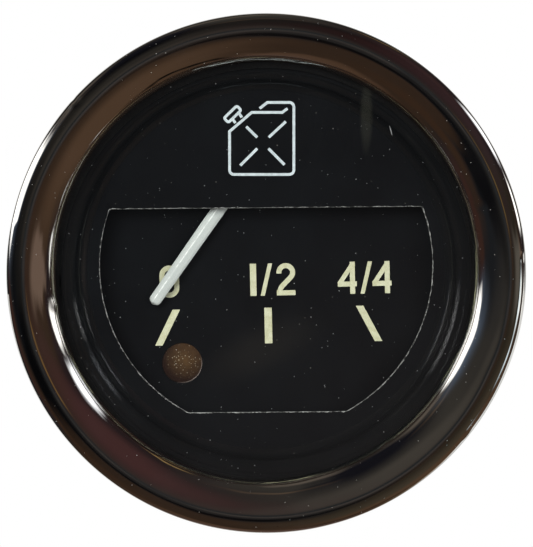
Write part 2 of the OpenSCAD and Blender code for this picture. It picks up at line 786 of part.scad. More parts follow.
// The movement that carries the shaft
module movement_frame() {
    color("#9c9a90") difference() {
        union() {
            rod_y(disc_r, dial_back_y, frame_back_y);
            for (side = [-1, 1]) on_coil(side)
                translate([-lug_w / 2, dial_back_y - coil_y, bobbin_end])
                    cube([lug_w, coil_y + bobbin_r - dial_back_y, lug_t]);
        }
        for (side = [-1, 1]) on_coil(side)
            cylinder(r = core_r + press_gap, h = bobbin_end + lug_t + cut);
        at_pivot() rod_y(bush_r + press_gap, dial_back_y - cut, frame_back_y + cut);
        at_stops() rod_y(stop_pin_r + press_gap, dial_back_y - cut, frame_back_y + cut);
        at_sides(dial_screw_x, dial_screw_z) rod_y(dial_screw_r + press_gap, dial_back_y - cut, frame_back_y + cut);
        at_sides(pillar_x, -pillar_z) rod_y(case_screw_r + press_gap, dial_back_y - cut, frame_back_y + cut);
        at_sides(bridge_pillar_x, bridge_pillar_z) rod_y(shaft_r + press_gap, dial_back_y - cut, frame_back_y + cut);
        at_light_holes() rod_y(light_hole_r, dial_back_y - cut, frame_back_y + cut);
        translate([-lamp_x, 0, -lamp_z]) rod_y(warning_flange_r + press_gap, dial_back_y - cut, frame_back_y + cut);
    }
}

module front_bearing() {
    color("#b59a55") at_pivot() difference() {
        union() {
            rod_y(bush_r, dial_back_y, frame_back_y);
            rod_y(bush_flange_r, frame_back_y, frame_back_y + bush_flange_t);
        }
        rod_y(shaft_r + run_gap, dial_back_y - cut, frame_back_y + bush_flange_t + cut);
    }
}

module rear_bearing() {
    color("#b59a55") at_pivot() difference() {
        union() {
            rod_y(bush_r, bridge_y, bridge_back_y);
            rod_y(bush_flange_r, bridge_y - bush_flange_t, bridge_y);
        }
        rod_y(shaft_r + run_gap, bridge_y - bush_flange_t - cut, bridge_back_y + cut);
    }
}

module rear_bridge() {
    pad_r = bush_flange_r + 0.8;
    color("#a98a4e") difference() {
        plate_y(bridge_y, bridge_back_y) union() {
            translate([0, pivot_z]) circle(r = pad_r);
            translate([-bridge_pillar_x, bridge_pillar_z - bridge_w / 2])
                square([2 * bridge_pillar_x, bridge_w]);
            for (side = [-1, 1])
                translate([side * bridge_pillar_x, bridge_pillar_z]) circle(r = bridge_w / 2);
        }
        at_pivot() rod_y(bush_r + press_gap, bridge_y - cut, bridge_back_y + cut);
        at_sides(bridge_pillar_x, bridge_pillar_z) rod_y(shaft_r + hole_gap, bridge_y - cut, bridge_back_y + cut);
    }
}

module bridge_pillars() {
    color("#a98a4e") at_sides(bridge_pillar_x, bridge_pillar_z) difference() {
        union() {
            rod_y(shaft_r, dial_back_y, frame_back_y);
            rod_y(bridge_pillar_r, frame_back_y, bridge_y);
        }
        rod_y(shaft_r + press_gap, bridge_y - bridge_screw_len - free_gap, bridge_y + cut);
    }
}

module bridge_screws() {
    head_y = bridge_back_y + bridge_screw_head_t;
    color("#8a8577") at_sides(bridge_pillar_x, bridge_pillar_z) union() {
        slotted_head(bridge_pillar_r, bridge_back_y, head_y, head_y);
        rod_y(shaft_r, bridge_y - bridge_screw_len, bridge_back_y);
    }
}

// Coils, one each side below the shaft
module coil_core(side) {
    color("#77736c") on_coil(side) translate([0, 0, core_start])
        cylinder(r = core_r, h = bobbin_end + lug_t - core_start);
}
module coil_bobbin(side) {
    color("#3b2f27") on_coil(side) translate([0, 0, bobbin_start]) difference() {
        union() {
            cylinder(r = bobbin_tube_r, h = bobbin_len);
            for (z = [0, bobbin_len - bobbin_flange_t]) translate([0, 0, z])
                cylinder(r = bobbin_r, h = bobbin_flange_t);
        }
        translate([0, 0, -cut]) cylinder(r = core_r + press_gap, h = bobbin_len + 2 * cut);
    }
}
module coil_winding(side) {
    color("#8f4a24") on_coil(side) translate([0, 0, bobbin_start + bobbin_flange_t]) difference() {
        cylinder(r = winding_r, h = bobbin_len - 2 * bobbin_flange_t);
        translate([0, 0, -cut]) cylinder(r = bobbin_tube_r + press_gap, h = bobbin_len + cut);
    }
}
module empty_coil_core() {
    coil_core(-1);
}
module empty_coil_bobbin() {
    coil_bobbin(-1);
}
module empty_coil_winding() {
    coil_winding(-1);
}
module full_coil_core() {
    coil_core(1);
}
module full_coil_bobbin() {
    coil_bobbin(1);
}
module full_coil_winding() {
    coil_winding(1);
}

// A stiff wire with straight runs and round bends
module wire(points) {
    bend_r = lead_r * 1.2;
    for (i = [0 : len(points) - 2]) {
        run = points[i + 1] - points[i];
        translate(points[i])
            rotate([0, acos(run[2] / norm(run)), atan2(run[1], run[0])])
                cylinder(r = lead_r, h = norm(run));
    }
    if (len(points) > 2)
        for (i = [1 : len(points) - 2]) translate(points[i]) sphere(r = bend_r);
}
module coil_leads() {
    reach = (bobbin_end - bobbin_flange_t / 2) * sin(coil_angle);
    start_y = coil_y + bobbin_r + 0.1;
    pin_reach = (bobbin_start + bobbin_flange_t / 2) * sin(coil_angle);
    color("#7c2f1c") {
        for (side = [-1, 1]) wire([
            [side * reach, start_y, pivot_z - reach],
            [side * reach, lead_bend_y, pivot_z - reach],
            [side * spade_x, lead_bend_y + 2, lead_end_z],
            [side * spade_x, tag_front_y, lead_end_z]
        ]);
        wire([
            [-pin_reach, coil_y + bobbin_r + lead_r + 0.1, pivot_z - pin_reach],
            [pin_reach, coil_y + bobbin_r + lead_r + 0.1, pivot_z - pin_reach]
        ]);
    }
}

module frame_pillars() {
    color("#a9a79c") at_sides(pillar_x, -pillar_z) difference() {
        union() {
            rod_y(case_screw_r, dial_back_y, frame_back_y);
            rod_y(pillar_r, frame_back_y, case_inner_y);
        }
        rod_y(case_screw_r + press_gap, case_inner_y - case_screw_len, case_inner_y + cut);
    }
}

module case_screws() {
    head_y = case_depth + case_screw_head_t;
    color("#8d8b84") at_sides(pillar_x, -pillar_z) union() {
        slotted_head(case_screw_head_r, case_depth, head_y, head_y);
        rod_y(case_screw_r, case_inner_y - case_screw_len + 1, case_depth);
    }
}

// The drawn case with its front flange and all holes in its back
module case_shell() {
    inner_corner_r = max(case_corner_r - case_t, 0.5);
    color("#7f8078") difference() {
        revolve_y() polygon(concat(
            [[case_bore_r, flange_front_y], [flange_r, flange_front_y],
             [flange_r, flange_back_y], [case_r + flange_bend, flange_back_y], [case_r, 0]],
            arc([case_r - case_corner_r, case_depth - case_corner_r], case_corner_r, 0, 90),
            [[0, case_depth], [0, case_inner_y]],
            arc([case_bore_r - inner_corner_r, case_inner_y - inner_corner_r], inner_corner_r, 90, 0)
        ));
        at_sides(lamp_x, -lamp_z) rod_y(holder_r + hole_gap, case_inner_y - cut, case_depth + cut);
        at_sides(pillar_x, -pillar_z) rod_y(case_screw_r + hole_gap, case_inner_y - cut, case_depth + cut);
        at_sides(stud_x, stud_z) rod_y(stud_r + press_gap, case_inner_y - cut, case_depth + cut);
        at_sides(spade_x, rivet_z) rod_y(rivet_r + bush_wall + hole_gap, case_inner_y - cut, case_depth + cut);
    }
}

// Terminals on the back
module terminal_board() {
    color("#5b3a22") difference() {
        plate_y(case_depth, board_back_y) translate([-board_w / 2, board_z]) square([board_w, board_h]);
        at_sides(spade_x, rivet_z) rod_y(rivet_r + press_gap, case_depth - cut, board_back_y + cut);
    }
}

// A spade terminal: a riveted foot and a blade that stands up from it
module spade(x) {
    blade_back_y = spade_back_y + spade_len;
    tip = spade_w / 4;
    color("#b39a5c") translate([x, 0, 0]) difference() {
        union() {
            plate_y(board_back_y, spade_back_y)
                translate([-spade_w / 2, rivet_z - rivet_head_r])
                    square([spade_w, spade_top_z - rivet_z + rivet_head_r]);
            translate([0, 0, spade_top_z - spade_t]) linear_extrude(spade_t) polygon([
                [-spade_w / 2, board_back_y], [spade_w / 2, board_back_y],
                [spade_w / 2, blade_back_y - tip], [spade_w / 2 - tip, blade_back_y],
                [tip - spade_w / 2, blade_back_y], [-spade_w / 2, blade_back_y - tip]
            ]);
        }
        translate([0, 0, rivet_z]) rod_y(rivet_r + press_gap, board_back_y - cut, spade_back_y + cut);
        translate([0, blade_back_y - spade_len / 2.5, spade_top_z - spade_t - cut])
            cylinder(r = 0.8, h = spade_t + 2 * cut);
    }
}
module supply_terminal() {
    spade(-spade_x);
}
module sender_terminal() {
    spade(spade_x);
}

module terminal_rivets() {
    color("#b39a5c") at_sides(spade_x, rivet_z) union() {
        rod_y(rivet_head_r, spade_back_y, spade_back_y + rivet_head_t);
        rod_y(rivet_r, tag_front_y, spade_back_y);
        rod_y(rivet_head_r - 0.2, tag_front_y - rivet_head_t, tag_front_y);
    }
}

module insulating_bushes() {
    color("#4b3324") at_sides(spade_x, rivet_z) difference() {
        union() {
            rod_y(rivet_r + bush_wall + 0.9, tag_back_y, case_inner_y);
            rod_y(rivet_r + bush_wall, case_inner_y, case_depth);
        }
        rod_y(rivet_r + press_gap, tag_back_y - cut, case_depth + cut);
    }
}

module solder_tags() {
    color("#b39a5c") at_sides(spade_x, rivet_z) difference() {
        plate_y(tag_front_y, tag_back_y) union() {
            circle(r = rivet_head_r);
            translate([-1.2, -rivet_head_r - tag_len / 2]) square([2.4, rivet_head_r + tag_len / 2]);
        }
        rod_y(rivet_r + press_gap, tag_front_y - cut, tag_back_y + cut);
    }
}

module earth_tab() {
    blade_x = stud_x - washer_r - spade_w + 0.8;
    color("#b39a5c") difference() {
        union() {
            plate_y(case_depth, case_depth + spade_t) union() {
                translate([stud_x, stud_z]) circle(r = washer_r);
                translate([blade_x, stud_z - spade_w / 2]) square([stud_x - blade_x, spade_w]);
            }
            translate([blade_x, case_depth, stud_z - spade_w / 2]) cube([spade_t, spade_t + spade_len, spade_w]);
        }
        translate([stud_x, 0, stud_z]) rod_y(stud_r + hole_gap, case_depth - cut, case_depth + spade_t + cut);
    }
}

// Studs with their washers and nuts; the right one also holds the earth tab
module mounting_studs() {
    thread_y = case_depth + spade_t + washer_t + nut_h + free_gap + stud_neck_len;
    color("#97968c") at_sides(stud_x, stud_z) union() {
        rod_y(stud_head_r, case_inner_y - stud_head_t, case_inner_y);
        rod_y(stud_neck_r, case_inner_y, thread_y);
        rod_y(stud_r, thread_y, case_depth + stud_len);
    }
}
module stud_washers() {
    color("#8d8c84") for (side = [-1, 1]) {
        y0 = case_depth + (side > 0 ? spade_t : 0);
        translate([side * stud_x, 0, stud_z]) tube_y(washer_r, stud_r + hole_gap, y0, y0 + washer_t);
    }
}
module stud_nuts() {
    color("#97968c") for (side = [-1, 1]) {
        y0 = case_depth + washer_t + (side > 0 ? spade_t : 0);
        translate([side * stud_x, 0, stud_z]) difference() {
            plate_y(y0, y0 + nut_h) circle(r = nut_r, $fn = 6);
            rod_y(stud_neck_r + press_gap, y0 - cut, y0 + nut_h + cut);
        }
    }
}

// Lamps
module light_tube() {
    y1 = frame_back_y + light_tube_len;
    bore_r = bulb_r + 0.3;
    color("#c9c7bd") translate([-lamp_x, 0, -lamp_z]) revolve_y() polygon([
        [warning_r, frame_back_y], [light_tube_r, frame_back_y], [light_tube_r, y1],
        [bore_r, y1], [bore_r, frame_back_y + 1], [warning_r, frame_back_y + 1]
    ]);
}
module lamp_holder(x) {
    flange_y = case_depth + holder_flange_t;
    color("#a3a096") translate([x, 0, -lamp_z]) difference() {
        union() {
            rod_y(holder_r, holder_front_y, holder_back_y);
            rod_y(holder_flange_r, case_depth, flange_y);
        }
        rod_y(holder_bore_r, holder_front_y - cut, cap_back_y);
        rod_y(lamp_pip_r + press_gap, cap_back_y - cut, holder_back_y + cut);
    }
}
module lamp_contact(x) {
    back_y = holder_back_y + spade_t;
    color("#b39a5c") translate([x, 0, -lamp_z]) union() {
        rod_y(lamp_spade_w / 2, holder_back_y, back_y);
        rod_y(lamp_pip_r, cap_back_y + pip_h, holder_back_y);
        translate([-lamp_spade_w / 2, holder_back_y, -spade_t / 2])
            cube([lamp_spade_w, spade_t + spade_len * 0.7, spade_t]);
    }
}
module bulb_cap(x) {
    color("#b39a5c") translate([x, 0, -lamp_z]) union() {
        rod_y(bulb_cap_r, cap_front_y, cap_back_y);
        rod_y(lamp_pip_r, cap_back_y, cap_back_y + pip_h);
    }
}
module bulb_glass(x) {
    color("#dfe6e6", 0.4) translate([x, 0, -lamp_z]) union() {
        rod_y(bulb_r, cap_front_y - bulb_len + bulb_r, cap_front_y);
        translate([0, cap_front_y - bulb_len + bulb_r, 0]) sphere(r = bulb_r);
    }
}
module warning_lamp_holder() {
    lamp_holder(-lamp_x);
}
module warning_lamp_contact() {
    lamp_contact(-lamp_x);
}
module warning_bulb_cap() {
    bulb_cap(-lamp_x);
}
module warning_bulb_glass() {
    bulb_glass(-lamp_x);
}
module dial_lamp_holder() {
    lamp_holder(lamp_x);
}
module dial_lamp_contact() {
    lamp_contact(lamp_x);
}
module dial_bulb_cap() {
    bulb_cap(lamp_x);
}
module dial_bulb_glass() {
    bulb_glass(lamp_x);
}

bezel();
lens();
lens_gasket();
trim_ring();
mask_plate();
can_symbol();
dial_spacer();
dial_plate();
dial_print();
dial_screws();
warning_lens();
stop_pins();
pointer();
pointer_hub();
pointer_shaft();
armature();
balance_arm();
counterweight();
movement_frame();
front_bearing();
rear_bridge();
rear_bearing();
bridge_pillars();
bridge_screws();
empty_coil_core();
empty_coil_bobbin();
empty_coil_winding();
full_coil_core();
full_coil_bobbin();
full_coil_winding();
coil_leads();
frame_pillars();
case_screws();
case_shell();
terminal_board();
supply_terminal();
sender_terminal();
terminal_rivets();
insulating_bushes();
solder_tags();
earth_tab();
mounting_studs();
stud_washers();
stud_nuts();
light_tube();
warning_lamp_holder();
warning_lamp_contact();
warning_bulb_cap();
warning_bulb_glass();
dial_lamp_holder();
dial_lamp_contact();
dial_bulb_cap();
dial_bulb_glass();
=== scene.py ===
"""Looks of a round car fuel gauge, dressed over its fixed CAD frame.

Sizes are in mm until they meet Blender. A clock angle is in degrees, clockwise from the top of the dial.
"""
import json
import math

import bmesh
import bpy
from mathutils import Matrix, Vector


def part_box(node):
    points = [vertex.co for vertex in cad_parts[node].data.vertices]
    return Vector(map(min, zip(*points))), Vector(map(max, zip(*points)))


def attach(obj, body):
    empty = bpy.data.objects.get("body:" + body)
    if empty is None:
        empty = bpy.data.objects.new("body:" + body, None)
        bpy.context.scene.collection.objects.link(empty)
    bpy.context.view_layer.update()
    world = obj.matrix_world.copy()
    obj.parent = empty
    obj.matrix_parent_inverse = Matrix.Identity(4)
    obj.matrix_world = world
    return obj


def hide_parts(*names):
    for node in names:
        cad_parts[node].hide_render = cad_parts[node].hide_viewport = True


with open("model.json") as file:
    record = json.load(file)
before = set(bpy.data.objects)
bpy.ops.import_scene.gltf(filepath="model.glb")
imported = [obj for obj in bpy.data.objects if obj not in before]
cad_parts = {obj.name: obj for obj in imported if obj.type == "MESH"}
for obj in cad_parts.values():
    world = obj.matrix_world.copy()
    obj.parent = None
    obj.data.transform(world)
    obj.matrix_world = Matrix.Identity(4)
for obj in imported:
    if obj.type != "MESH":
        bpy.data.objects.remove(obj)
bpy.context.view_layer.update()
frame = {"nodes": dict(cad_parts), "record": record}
nodes = frame["nodes"]
scene = bpy.context.scene
scene.view_settings.view_transform = "Standard"

MM = 0.001


def node_box(node):
    """Lowest and highest corner of a CAD node, in mm."""
    low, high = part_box(node)
    return low / MM, high / MM


# Driving places, from the frame and its one joint

rim_low, rim_high = node_box("bezel")
RIM_R = rim_high.x
LENS_Y = node_box("lens")[0].y
PIVOT_Z = frame["record"]["behaviour"]["joints"][0]["pos_m"][2] / MM
# Lean of the pointer at rest, from straight down towards the left
REST_LEAN = 35
# Turned pieces begin this far off their own axis, so that the spin makes no doubled points there
PINHOLE = 0.005


# Camera: far off on the gauge's axis, with the photograph's scale at the glass

PHOTO_HEIGHT = 547
PIXELS_PER_MM = 8.64
EYE = Vector((0.03, -600.0, -0.05))

eye = bpy.data.cameras.new("eye")
eye.lens = eye.sensor_width * (LENS_Y - EYE.y) / (PHOTO_HEIGHT / PIXELS_PER_MM)
eye.clip_start = 0.01
camera = bpy.data.objects.new("eye", eye)
scene.collection.objects.link(camera)
camera.location = EYE * MM
camera.rotation_euler = (math.pi / 2, 0, 0)
scene.camera = camera


# Colours and nodes

def linear(code):
    """An sRGB hex colour as the linear colour that a shader takes."""
    parts = [int(code[i:i + 2], 16) / 255 for i in (0, 2, 4)]
    return tuple(c / 12.92 if c <= 0.04045 else ((c + 0.055) / 1.055) ** 2.4 for c in parts) + (1.0,)


def grey(level):
    """A plain level, as a colour."""
    return (level, level, level, 1.0)


def per(size):
    """Scale of a pattern that repeats every so many mm, because Object coordinates are in metres."""
    return 1 / (size * MM)


def add(tree, kind, inputs=None, **settings):
    """Adds a node with its settings and its plain values or links."""
    node = tree.nodes.new(kind)
    for name, value in settings.items():
        setattr(node, name, value)
    for name, value in (inputs or {}).items():
        if isinstance(value, bpy.types.NodeSocket):
            tree.links.new(value, node.inputs[name])
        else:
            node.inputs[name].default_value = value
    return node


def finish(name, sockets):
    """A new material, with its tree, its shader and its Object coordinates."""
    material = bpy.data.materials.new(name)
    material.use_nodes = True
    tree = material.node_tree
    tree.nodes.clear()
    shader = add(tree, "ShaderNodeBsdfPrincipled", sockets)
    add(tree, "ShaderNodeOutputMaterial", {"Surface": shader.outputs[0]})
    return material, tree, shader, add(tree, "ShaderNodeTexCoord").outputs["Object"]


def layered(tree, colour, *coats):
    """A colour with coats over it, each a share from 0 to 1 and the colour that it brings."""
    for share, over in coats:
        colour = add(tree, "ShaderNodeMix", {0: share, 6: colour, 7: over}, data_type="RGBA").outputs[2]
    return colour


def coloured(tree, shader, base, *coats):
    """Colours a shader by hex codes: a base with coats over it, each coat with its share and its code."""
    coats = [(share, linear(code)) for share, code in coats]
    tree.links.new(layered(tree, linear(base), *coats), shader.inputs["Base Color"])


def raised(tree, shader, height, depth):
    """Bumps a shader by a height from 0 to 1, so many mm deep, over any bump that it has."""
    bump = add(tree, "ShaderNodeBump", {"Distance": depth * MM, "Height": height})
    normal = shader.inputs["Normal"]
    if normal.is_linked:
        tree.links.new(normal.links[0].from_socket, bump.inputs["Normal"])
    tree.links.new(bump.outputs[0], normal)


def from_axis(tree, place):
    """Distance of a place from the Y axis."""
    across = add(tree, "ShaderNodeVectorMath", {0: place, 1: (1.0, 0.0, 1.0)}, operation="MULTIPLY")
    return add(tree, "ShaderNodeVectorMath", {0: across.outputs[0]}, operation="LENGTH").outputs["Value"]


def clear_to_shadows(tree, shader):
    """Lets the light that would cast a shadow straight through the surface."""
    shadow = add(tree, "ShaderNodeLightPath").outputs["Is Shadow Ray"]
    clear = add(tree, "ShaderNodeBsdfTransparent")
    seen = add(tree, "ShaderNodeMixShader", {0: shadow, 1: shader.outputs[0], 2: clear.outputs[0]})
    out = [node for node in tree.nodes if node.type == "OUTPUT_MATERIAL"][0]
    tree.links.new(seen.outputs[0], out.inputs[0])


def specks(tree, place, spacing, size, share, flat=False):
    """1 on small round specks, at most size mm across, in a share of cells spacing mm wide.

    Only a few of a solid pattern's specks meet a flat face across Y, so there the pattern is flattened.
    """
    if flat:
        place = add(tree, "ShaderNodeMapping", {"Vector": place, "Scale": (1.0, 0.05, 1.0)}).outputs[0]
    cells = add(tree, "ShaderNodeTexVoronoi", {"Vector": place, "Scale": per(spacing)})
    chosen = add(tree, "ShaderNodeSeparateColor", {0: cells.outputs["Color"]})
    reach = add(tree, "ShaderNodeMapRange", {
        0: chosen.outputs[0], 1: 1 - share, 2: 1.0, 3: 0.0, 4: size / 2 / spacing})
    within = add(tree, "ShaderNodeMath", {
        0: reach.outputs[0], 1: cells.outputs["Distance"]}, operation="SUBTRACT")
    soft_edge = 0.12 * size / spacing
    return add(tree, "ShaderNodeMapRange", {
        0: within.outputs[0], 1: 0.0, 2: soft_edge, 3: 0.0, 4: 1.0}).outputs[0]


def fibres(tree, place, lean, spacing, width, share):
    """1 on short curled fibres that lie about one way: specks in a stretched and warped space."""
    curl = add(tree, "ShaderNodeTexNoise", {"Vector": place, "Scale": per(2.2), "Detail": 1.0})
    bent = add(tree, "ShaderNodeVectorMath", {
        0: curl.outputs["Color"], 1: (1.4 * MM, 1.4 * MM, 1.4 * MM), 2: place}, operation="MULTIPLY_ADD")
    along = add(tree, "ShaderNodeMapping", {
        "Vector": bent.outputs[0], "Rotation": (0.0, math.radians(lean), 0.0), "Scale": (1.0, 0.05, 0.1)})
    return specks(tree, along.outputs[0], spacing, width, share)


def dusted(tree, place, share):
    """1 on the dust of a flat face: round specks, and fibres that lie two ways."""
    dust = specks(tree, place, 0.65, 0.115, share, flat=True)
    for lean in (25, 110):
        thread = fibres(tree, place, lean, 1.7, 0.15, 0.8 * share)
        dust = add(tree, "ShaderNodeMath", {0: dust, 1: thread}, operation="MAXIMUM").outputs[0]
    return dust


# Finishes

def shoulder_tints(tree, place):
    """Coats for two tints on the bezel's shoulder, between its crest and its skirt.

    A bluish tint on the right half takes out the red, and a grey tint darkens all but the lower right. Each
    grows along its own way across the ring.
    """
    radius = from_axis(tree, place)
    begun = add(tree, "ShaderNodeMapRange", {0: radius, 1: 28.1 * MM, 2: 28.6 * MM, 3: 0.0, 4: 1.0})
    ring = add(tree, "ShaderNodeMapRange", {
        0: radius, 1: 29.2 * MM, 2: 29.5 * MM, 3: begun.outputs[0], 4: 0.0})
    bluish_tint = ((1.0, 0.0, 0.0), -4, 8, "acc0c4")
    grey_tint = ((0.7, 0.0, -0.7), 8, -12, "908e8b")
    coats = []
    for way, first, last, code in (bluish_tint, grey_tint):
        side = add(tree, "ShaderNodeVectorMath", {0: place, 1: way}, operation="DOT_PRODUCT")
        tinted = add(tree, "ShaderNodeMapRange", {
            0: side.outputs["Value"], 1: first * MM, 2: last * MM, 3: 0.0, 4: ring.outputs[0]})
        coats.append((tinted.outputs[0], code))
    return coats


def chrome_plate():
    # Bright chromium on pressed steel: a near-perfect mirror, a little warm, with dust, pits and a slight
    # wave
    material, tree, shader, place = finish("chrome_plate", {
        "Metallic": 1.0, "Base Color": linear("cfccc6"), "Roughness": 0.05})
    dust = specks(tree, place, 0.55, 0.11, 0.7)
    pits = specks(tree, place, 1.4, 0.16, 0.6)
    haze = add(tree, "ShaderNodeTexNoise", {
        "Vector": place, "Scale": per(7), "Detail": 5.0, "Roughness": 0.6})
    smear = add(tree, "ShaderNodeMapRange", {0: haze.outputs[0], 1: 0.42, 2: 0.75, 3: 0.035, 4: 0.12})
    worn = add(tree, "ShaderNodeMath", {0: dust, 1: 0.5, 2: smear.outputs[0]}, operation="MULTIPLY_ADD")
    tree.links.new(worn.outputs[0], shader.inputs["Roughness"])
    coloured(tree, shader, "cbc8c1", (haze.outputs[0], "d4d1cc"), *shoulder_tints(tree, place),
             (pits, "57524a"))
    bare = add(tree, "ShaderNodeMath", {0: dust, 1: -0.45, 2: 1.0}, operation="MULTIPLY_ADD")
    tree.links.new(bare.outputs[0], shader.inputs["Metallic"])
    wave = add(tree, "ShaderNodeTexNoise", {"Vector": place, "Scale": per(11), "Detail": 1.0})
    raised(tree, shader, wave.outputs[0], 0.10)
    rough = add(tree, "ShaderNodeMath", {0: dust, 1: pits}, operation="SUBTRACT")
    raised(tree, shader, rough.outputs[0], 0.01)
    return material


def clear_glass():
    # Flat float glass, clear and colourless, with dust on it
    material, tree, shader, place = finish("clear_glass", {
        "Base Color": (1, 1, 1, 1), "Roughness": 0.0, "IOR": 1.5, "Transmission Weight": 1.0})
    lint = dusted(tree, place, 0.35)
    for socket, clean, dusty in (("Roughness", 0.0, 0.7), ("Transmission Weight", 1.0, 0.75)):
        level = add(tree, "ShaderNodeMapRange", {0: lint, 1: 0.0, 2: 1.0, 3: clean, 4: dusty})
        tree.links.new(level.outputs[0], shader.inputs[socket])
    clear_to_shadows(tree, shader)
    return material


def bulb_glass():
    # Thin blown glass, slightly wavy
    material, tree, shader, place = finish("bulb_glass", {
        "Base Color": linear("f2f6f6"), "Roughness": 0.02, "IOR": 1.5, "Transmission Weight": 1.0})
    wave = add(tree, "ShaderNodeTexNoise", {"Vector": place, "Scale": per(4), "Detail": 1.0})
    raised(tree, shader, wave.outputs[0], 0.05)
    clear_to_shadows(tree, shader)
    return material


def plain_surface(name, dark, light, roughness, grain, depth, dust=0.0):
    """A moulded or painted surface: a soft change of tone, a fine grain and a little dust."""
    material, tree, shader, place = finish(name, {"Roughness": roughness, "IOR": 1.5})
    tone = add(tree, "ShaderNodeTexNoise", {
        "Vector": place, "Scale": per(9), "Detail": 4.0, "Roughness": 0.6})
    spread = add(tree, "ShaderNodeMapRange", {0: tone.outputs[0], 1: 0.3, 2: 0.7, 3: 0.0, 4: 1.0})
    coats = [(spread.outputs[0], light)]
    if dust:
        coats.append((dusted(tree, place, dust), "85827c"))
    coloured(tree, shader, dark, *coats)
    fine = add(tree, "ShaderNodeTexNoise", {"Vector": place, "Scale": per(grain), "Detail": 2.0})
    gloss = add(tree, "ShaderNodeMapRange", {
        0: fine.outputs[0], 1: 0.3, 2: 0.7, 3: roughness * 0.85, 4: min(1.0, roughness * 1.15)})
    tree.links.new(gloss.outputs[0], shader.inputs["Roughness"])
    raised(tree, shader, fine.outputs[0], depth)
    return material


def metal_surface(name, low, high, roughness, streak, stretch, depth):
    """A turned, drawn or brushed metal: fine lines and a soft stain. A metal keeps the default IOR."""
    material, tree, shader, place = finish(name, {"Metallic": 1.0, "Roughness": roughness})
    along = add(tree, "ShaderNodeMapping", {"Vector": place, "Scale": stretch})
    lines = add(tree, "ShaderNodeTexNoise", {
        "Vector": along.outputs[0], "Scale": per(streak), "Detail": 3.0, "Roughness": 0.65})
    stain = add(tree, "ShaderNodeTexNoise", {
        "Vector": place, "Scale": per(5), "Detail": 4.0, "Roughness": 0.7})
    spread = add(tree, "ShaderNodeMapRange", {0: stain.outputs[0], 1: 0.3, 2: 0.72, 3: 0.0, 4: 1.0})
    coloured(tree, shader, low, (spread.outputs[0], high))
    gloss = add(tree, "ShaderNodeMapRange", {
        0: lines.outputs[0], 1: 0.3, 2: 0.7, 3: roughness * 0.75, 4: roughness * 1.35})
    tree.links.new(gloss.outputs[0], shader.inputs["Roughness"])
    raised(tree, shader, lines.outputs[0], depth)
    return material


def white_lacquer():
    # White lacquer on a moulded pointer: satin, with a painted highlight, a thin broken bright line along its
    # ridge
    material, tree, shader, place = finish("white_lacquer", {"Roughness": 0.36, "IOR": 1.5})
    tone = add(tree, "ShaderNodeTexNoise", {"Vector": place, "Scale": per(3), "Detail": 3.0})
    # How far a place lies from the ridge, across the blade as it leans at rest; the ridge runs a little left
    # of the line through the pivot
    lean = math.radians(REST_LEAN)
    ridge_off = -0.17
    breadth = add(tree, "ShaderNodeVectorMath", {
        0: place, 1: (math.cos(lean), 0.0, -math.sin(lean))}, operation="DOT_PRODUCT")
    ridge = add(tree, "ShaderNodeMath", {
        0: breadth.outputs["Value"], 1: (-PIVOT_Z * math.sin(lean) + ridge_off) * MM}, operation="SUBTRACT")
    off = add(tree, "ShaderNodeMath", {0: ridge.outputs[0]}, operation="ABSOLUTE")
    line = add(tree, "ShaderNodeMapRange", {0: off.outputs[0], 1: 0.035 * MM, 2: 0.09 * MM, 3: 1.0, 4: 0.0})
    gaps = add(tree, "ShaderNodeTexNoise", {"Vector": place, "Scale": per(0.5), "Detail": 1.0})
    broken = add(tree, "ShaderNodeMapRange", {0: gaps.outputs[0], 1: 0.4, 2: 0.55, 3: 0.15, 4: 1.0})
    # Painted highlight: a thin bright line along the ridge, broken by the gaps
    painted_ridge_highlight = add(tree, "ShaderNodeMath", {0: line.outputs[0], 1: broken.outputs[0]}, operation="MULTIPLY")
    coloured(tree, shader, "bfc5c0", (tone.outputs[0], "cfd5d0"), (painted_ridge_highlight.outputs[0], "f2f6f0"))
    raised(tree, shader, tone.outputs[0], 0.01)
    return material


def zinc_plate():
    # Bright zinc on drawn steel: a soft grey sheen with a fine crystal spangle and dull stains
    material, tree, shader, place = finish("zinc_plated_steel", {"Metallic": 1.0, "Roughness": 0.35})
    crystals = add(tree, "ShaderNodeTexVoronoi", {"Vector": place, "Scale": per(1.4)})
    stain = add(tree, "ShaderNodeTexNoise", {
        "Vector": place, "Scale": per(4), "Detail": 6.0, "Roughness": 0.7})
    draw = add(tree, "ShaderNodeMapping", {"Vector": place, "Scale": (1.0, 0.06, 1.0)})
    lines = add(tree, "ShaderNodeTexNoise", {"Vector": draw.outputs[0], "Scale": per(0.5), "Detail": 3.0})
    dull = add(tree, "ShaderNodeMapRange", {0: stain.outputs[0], 1: 0.45, 2: 0.8, 3: 0.0, 4: 0.25})
    coloured(tree, shader, "aeaea8", (crystals.outputs["Color"], "b9b9b3"), (dull.outputs[0], "8b877a"))
    gloss = add(tree, "ShaderNodeMapRange", {0: stain.outputs[0], 1: 0.35, 2: 0.7, 3: 0.3, 4: 0.4})
    tree.links.new(gloss.outputs[0], shader.inputs["Roughness"])
    raised(tree, shader, lines.outputs[0], 0.006)
    return material


def wound_copper():
    # Enamelled copper wire: red-brown and glossy. It is about 0.1 mm thick, and its turns are drawn at
    # 0.25 mm so that they show
    material, tree, shader, place = finish("enamelled_copper", {
        "Metallic": 1.0, "Base Color": linear("c07a4a"), "Roughness": 0.3})
    turns = add(tree, "ShaderNodeTexWave", {
        "Vector": place, "Scale": per(0.25) / 20, "Distortion": 0.6}, bands_direction="Y")
    tone = add(tree, "ShaderNodeTexNoise", {"Vector": place, "Scale": per(2)})
    coloured(tree, shader, "a4582c", (tone.outputs[0], "cf8a58"))
    raised(tree, shader, turns.outputs[0], 0.1)
    return material


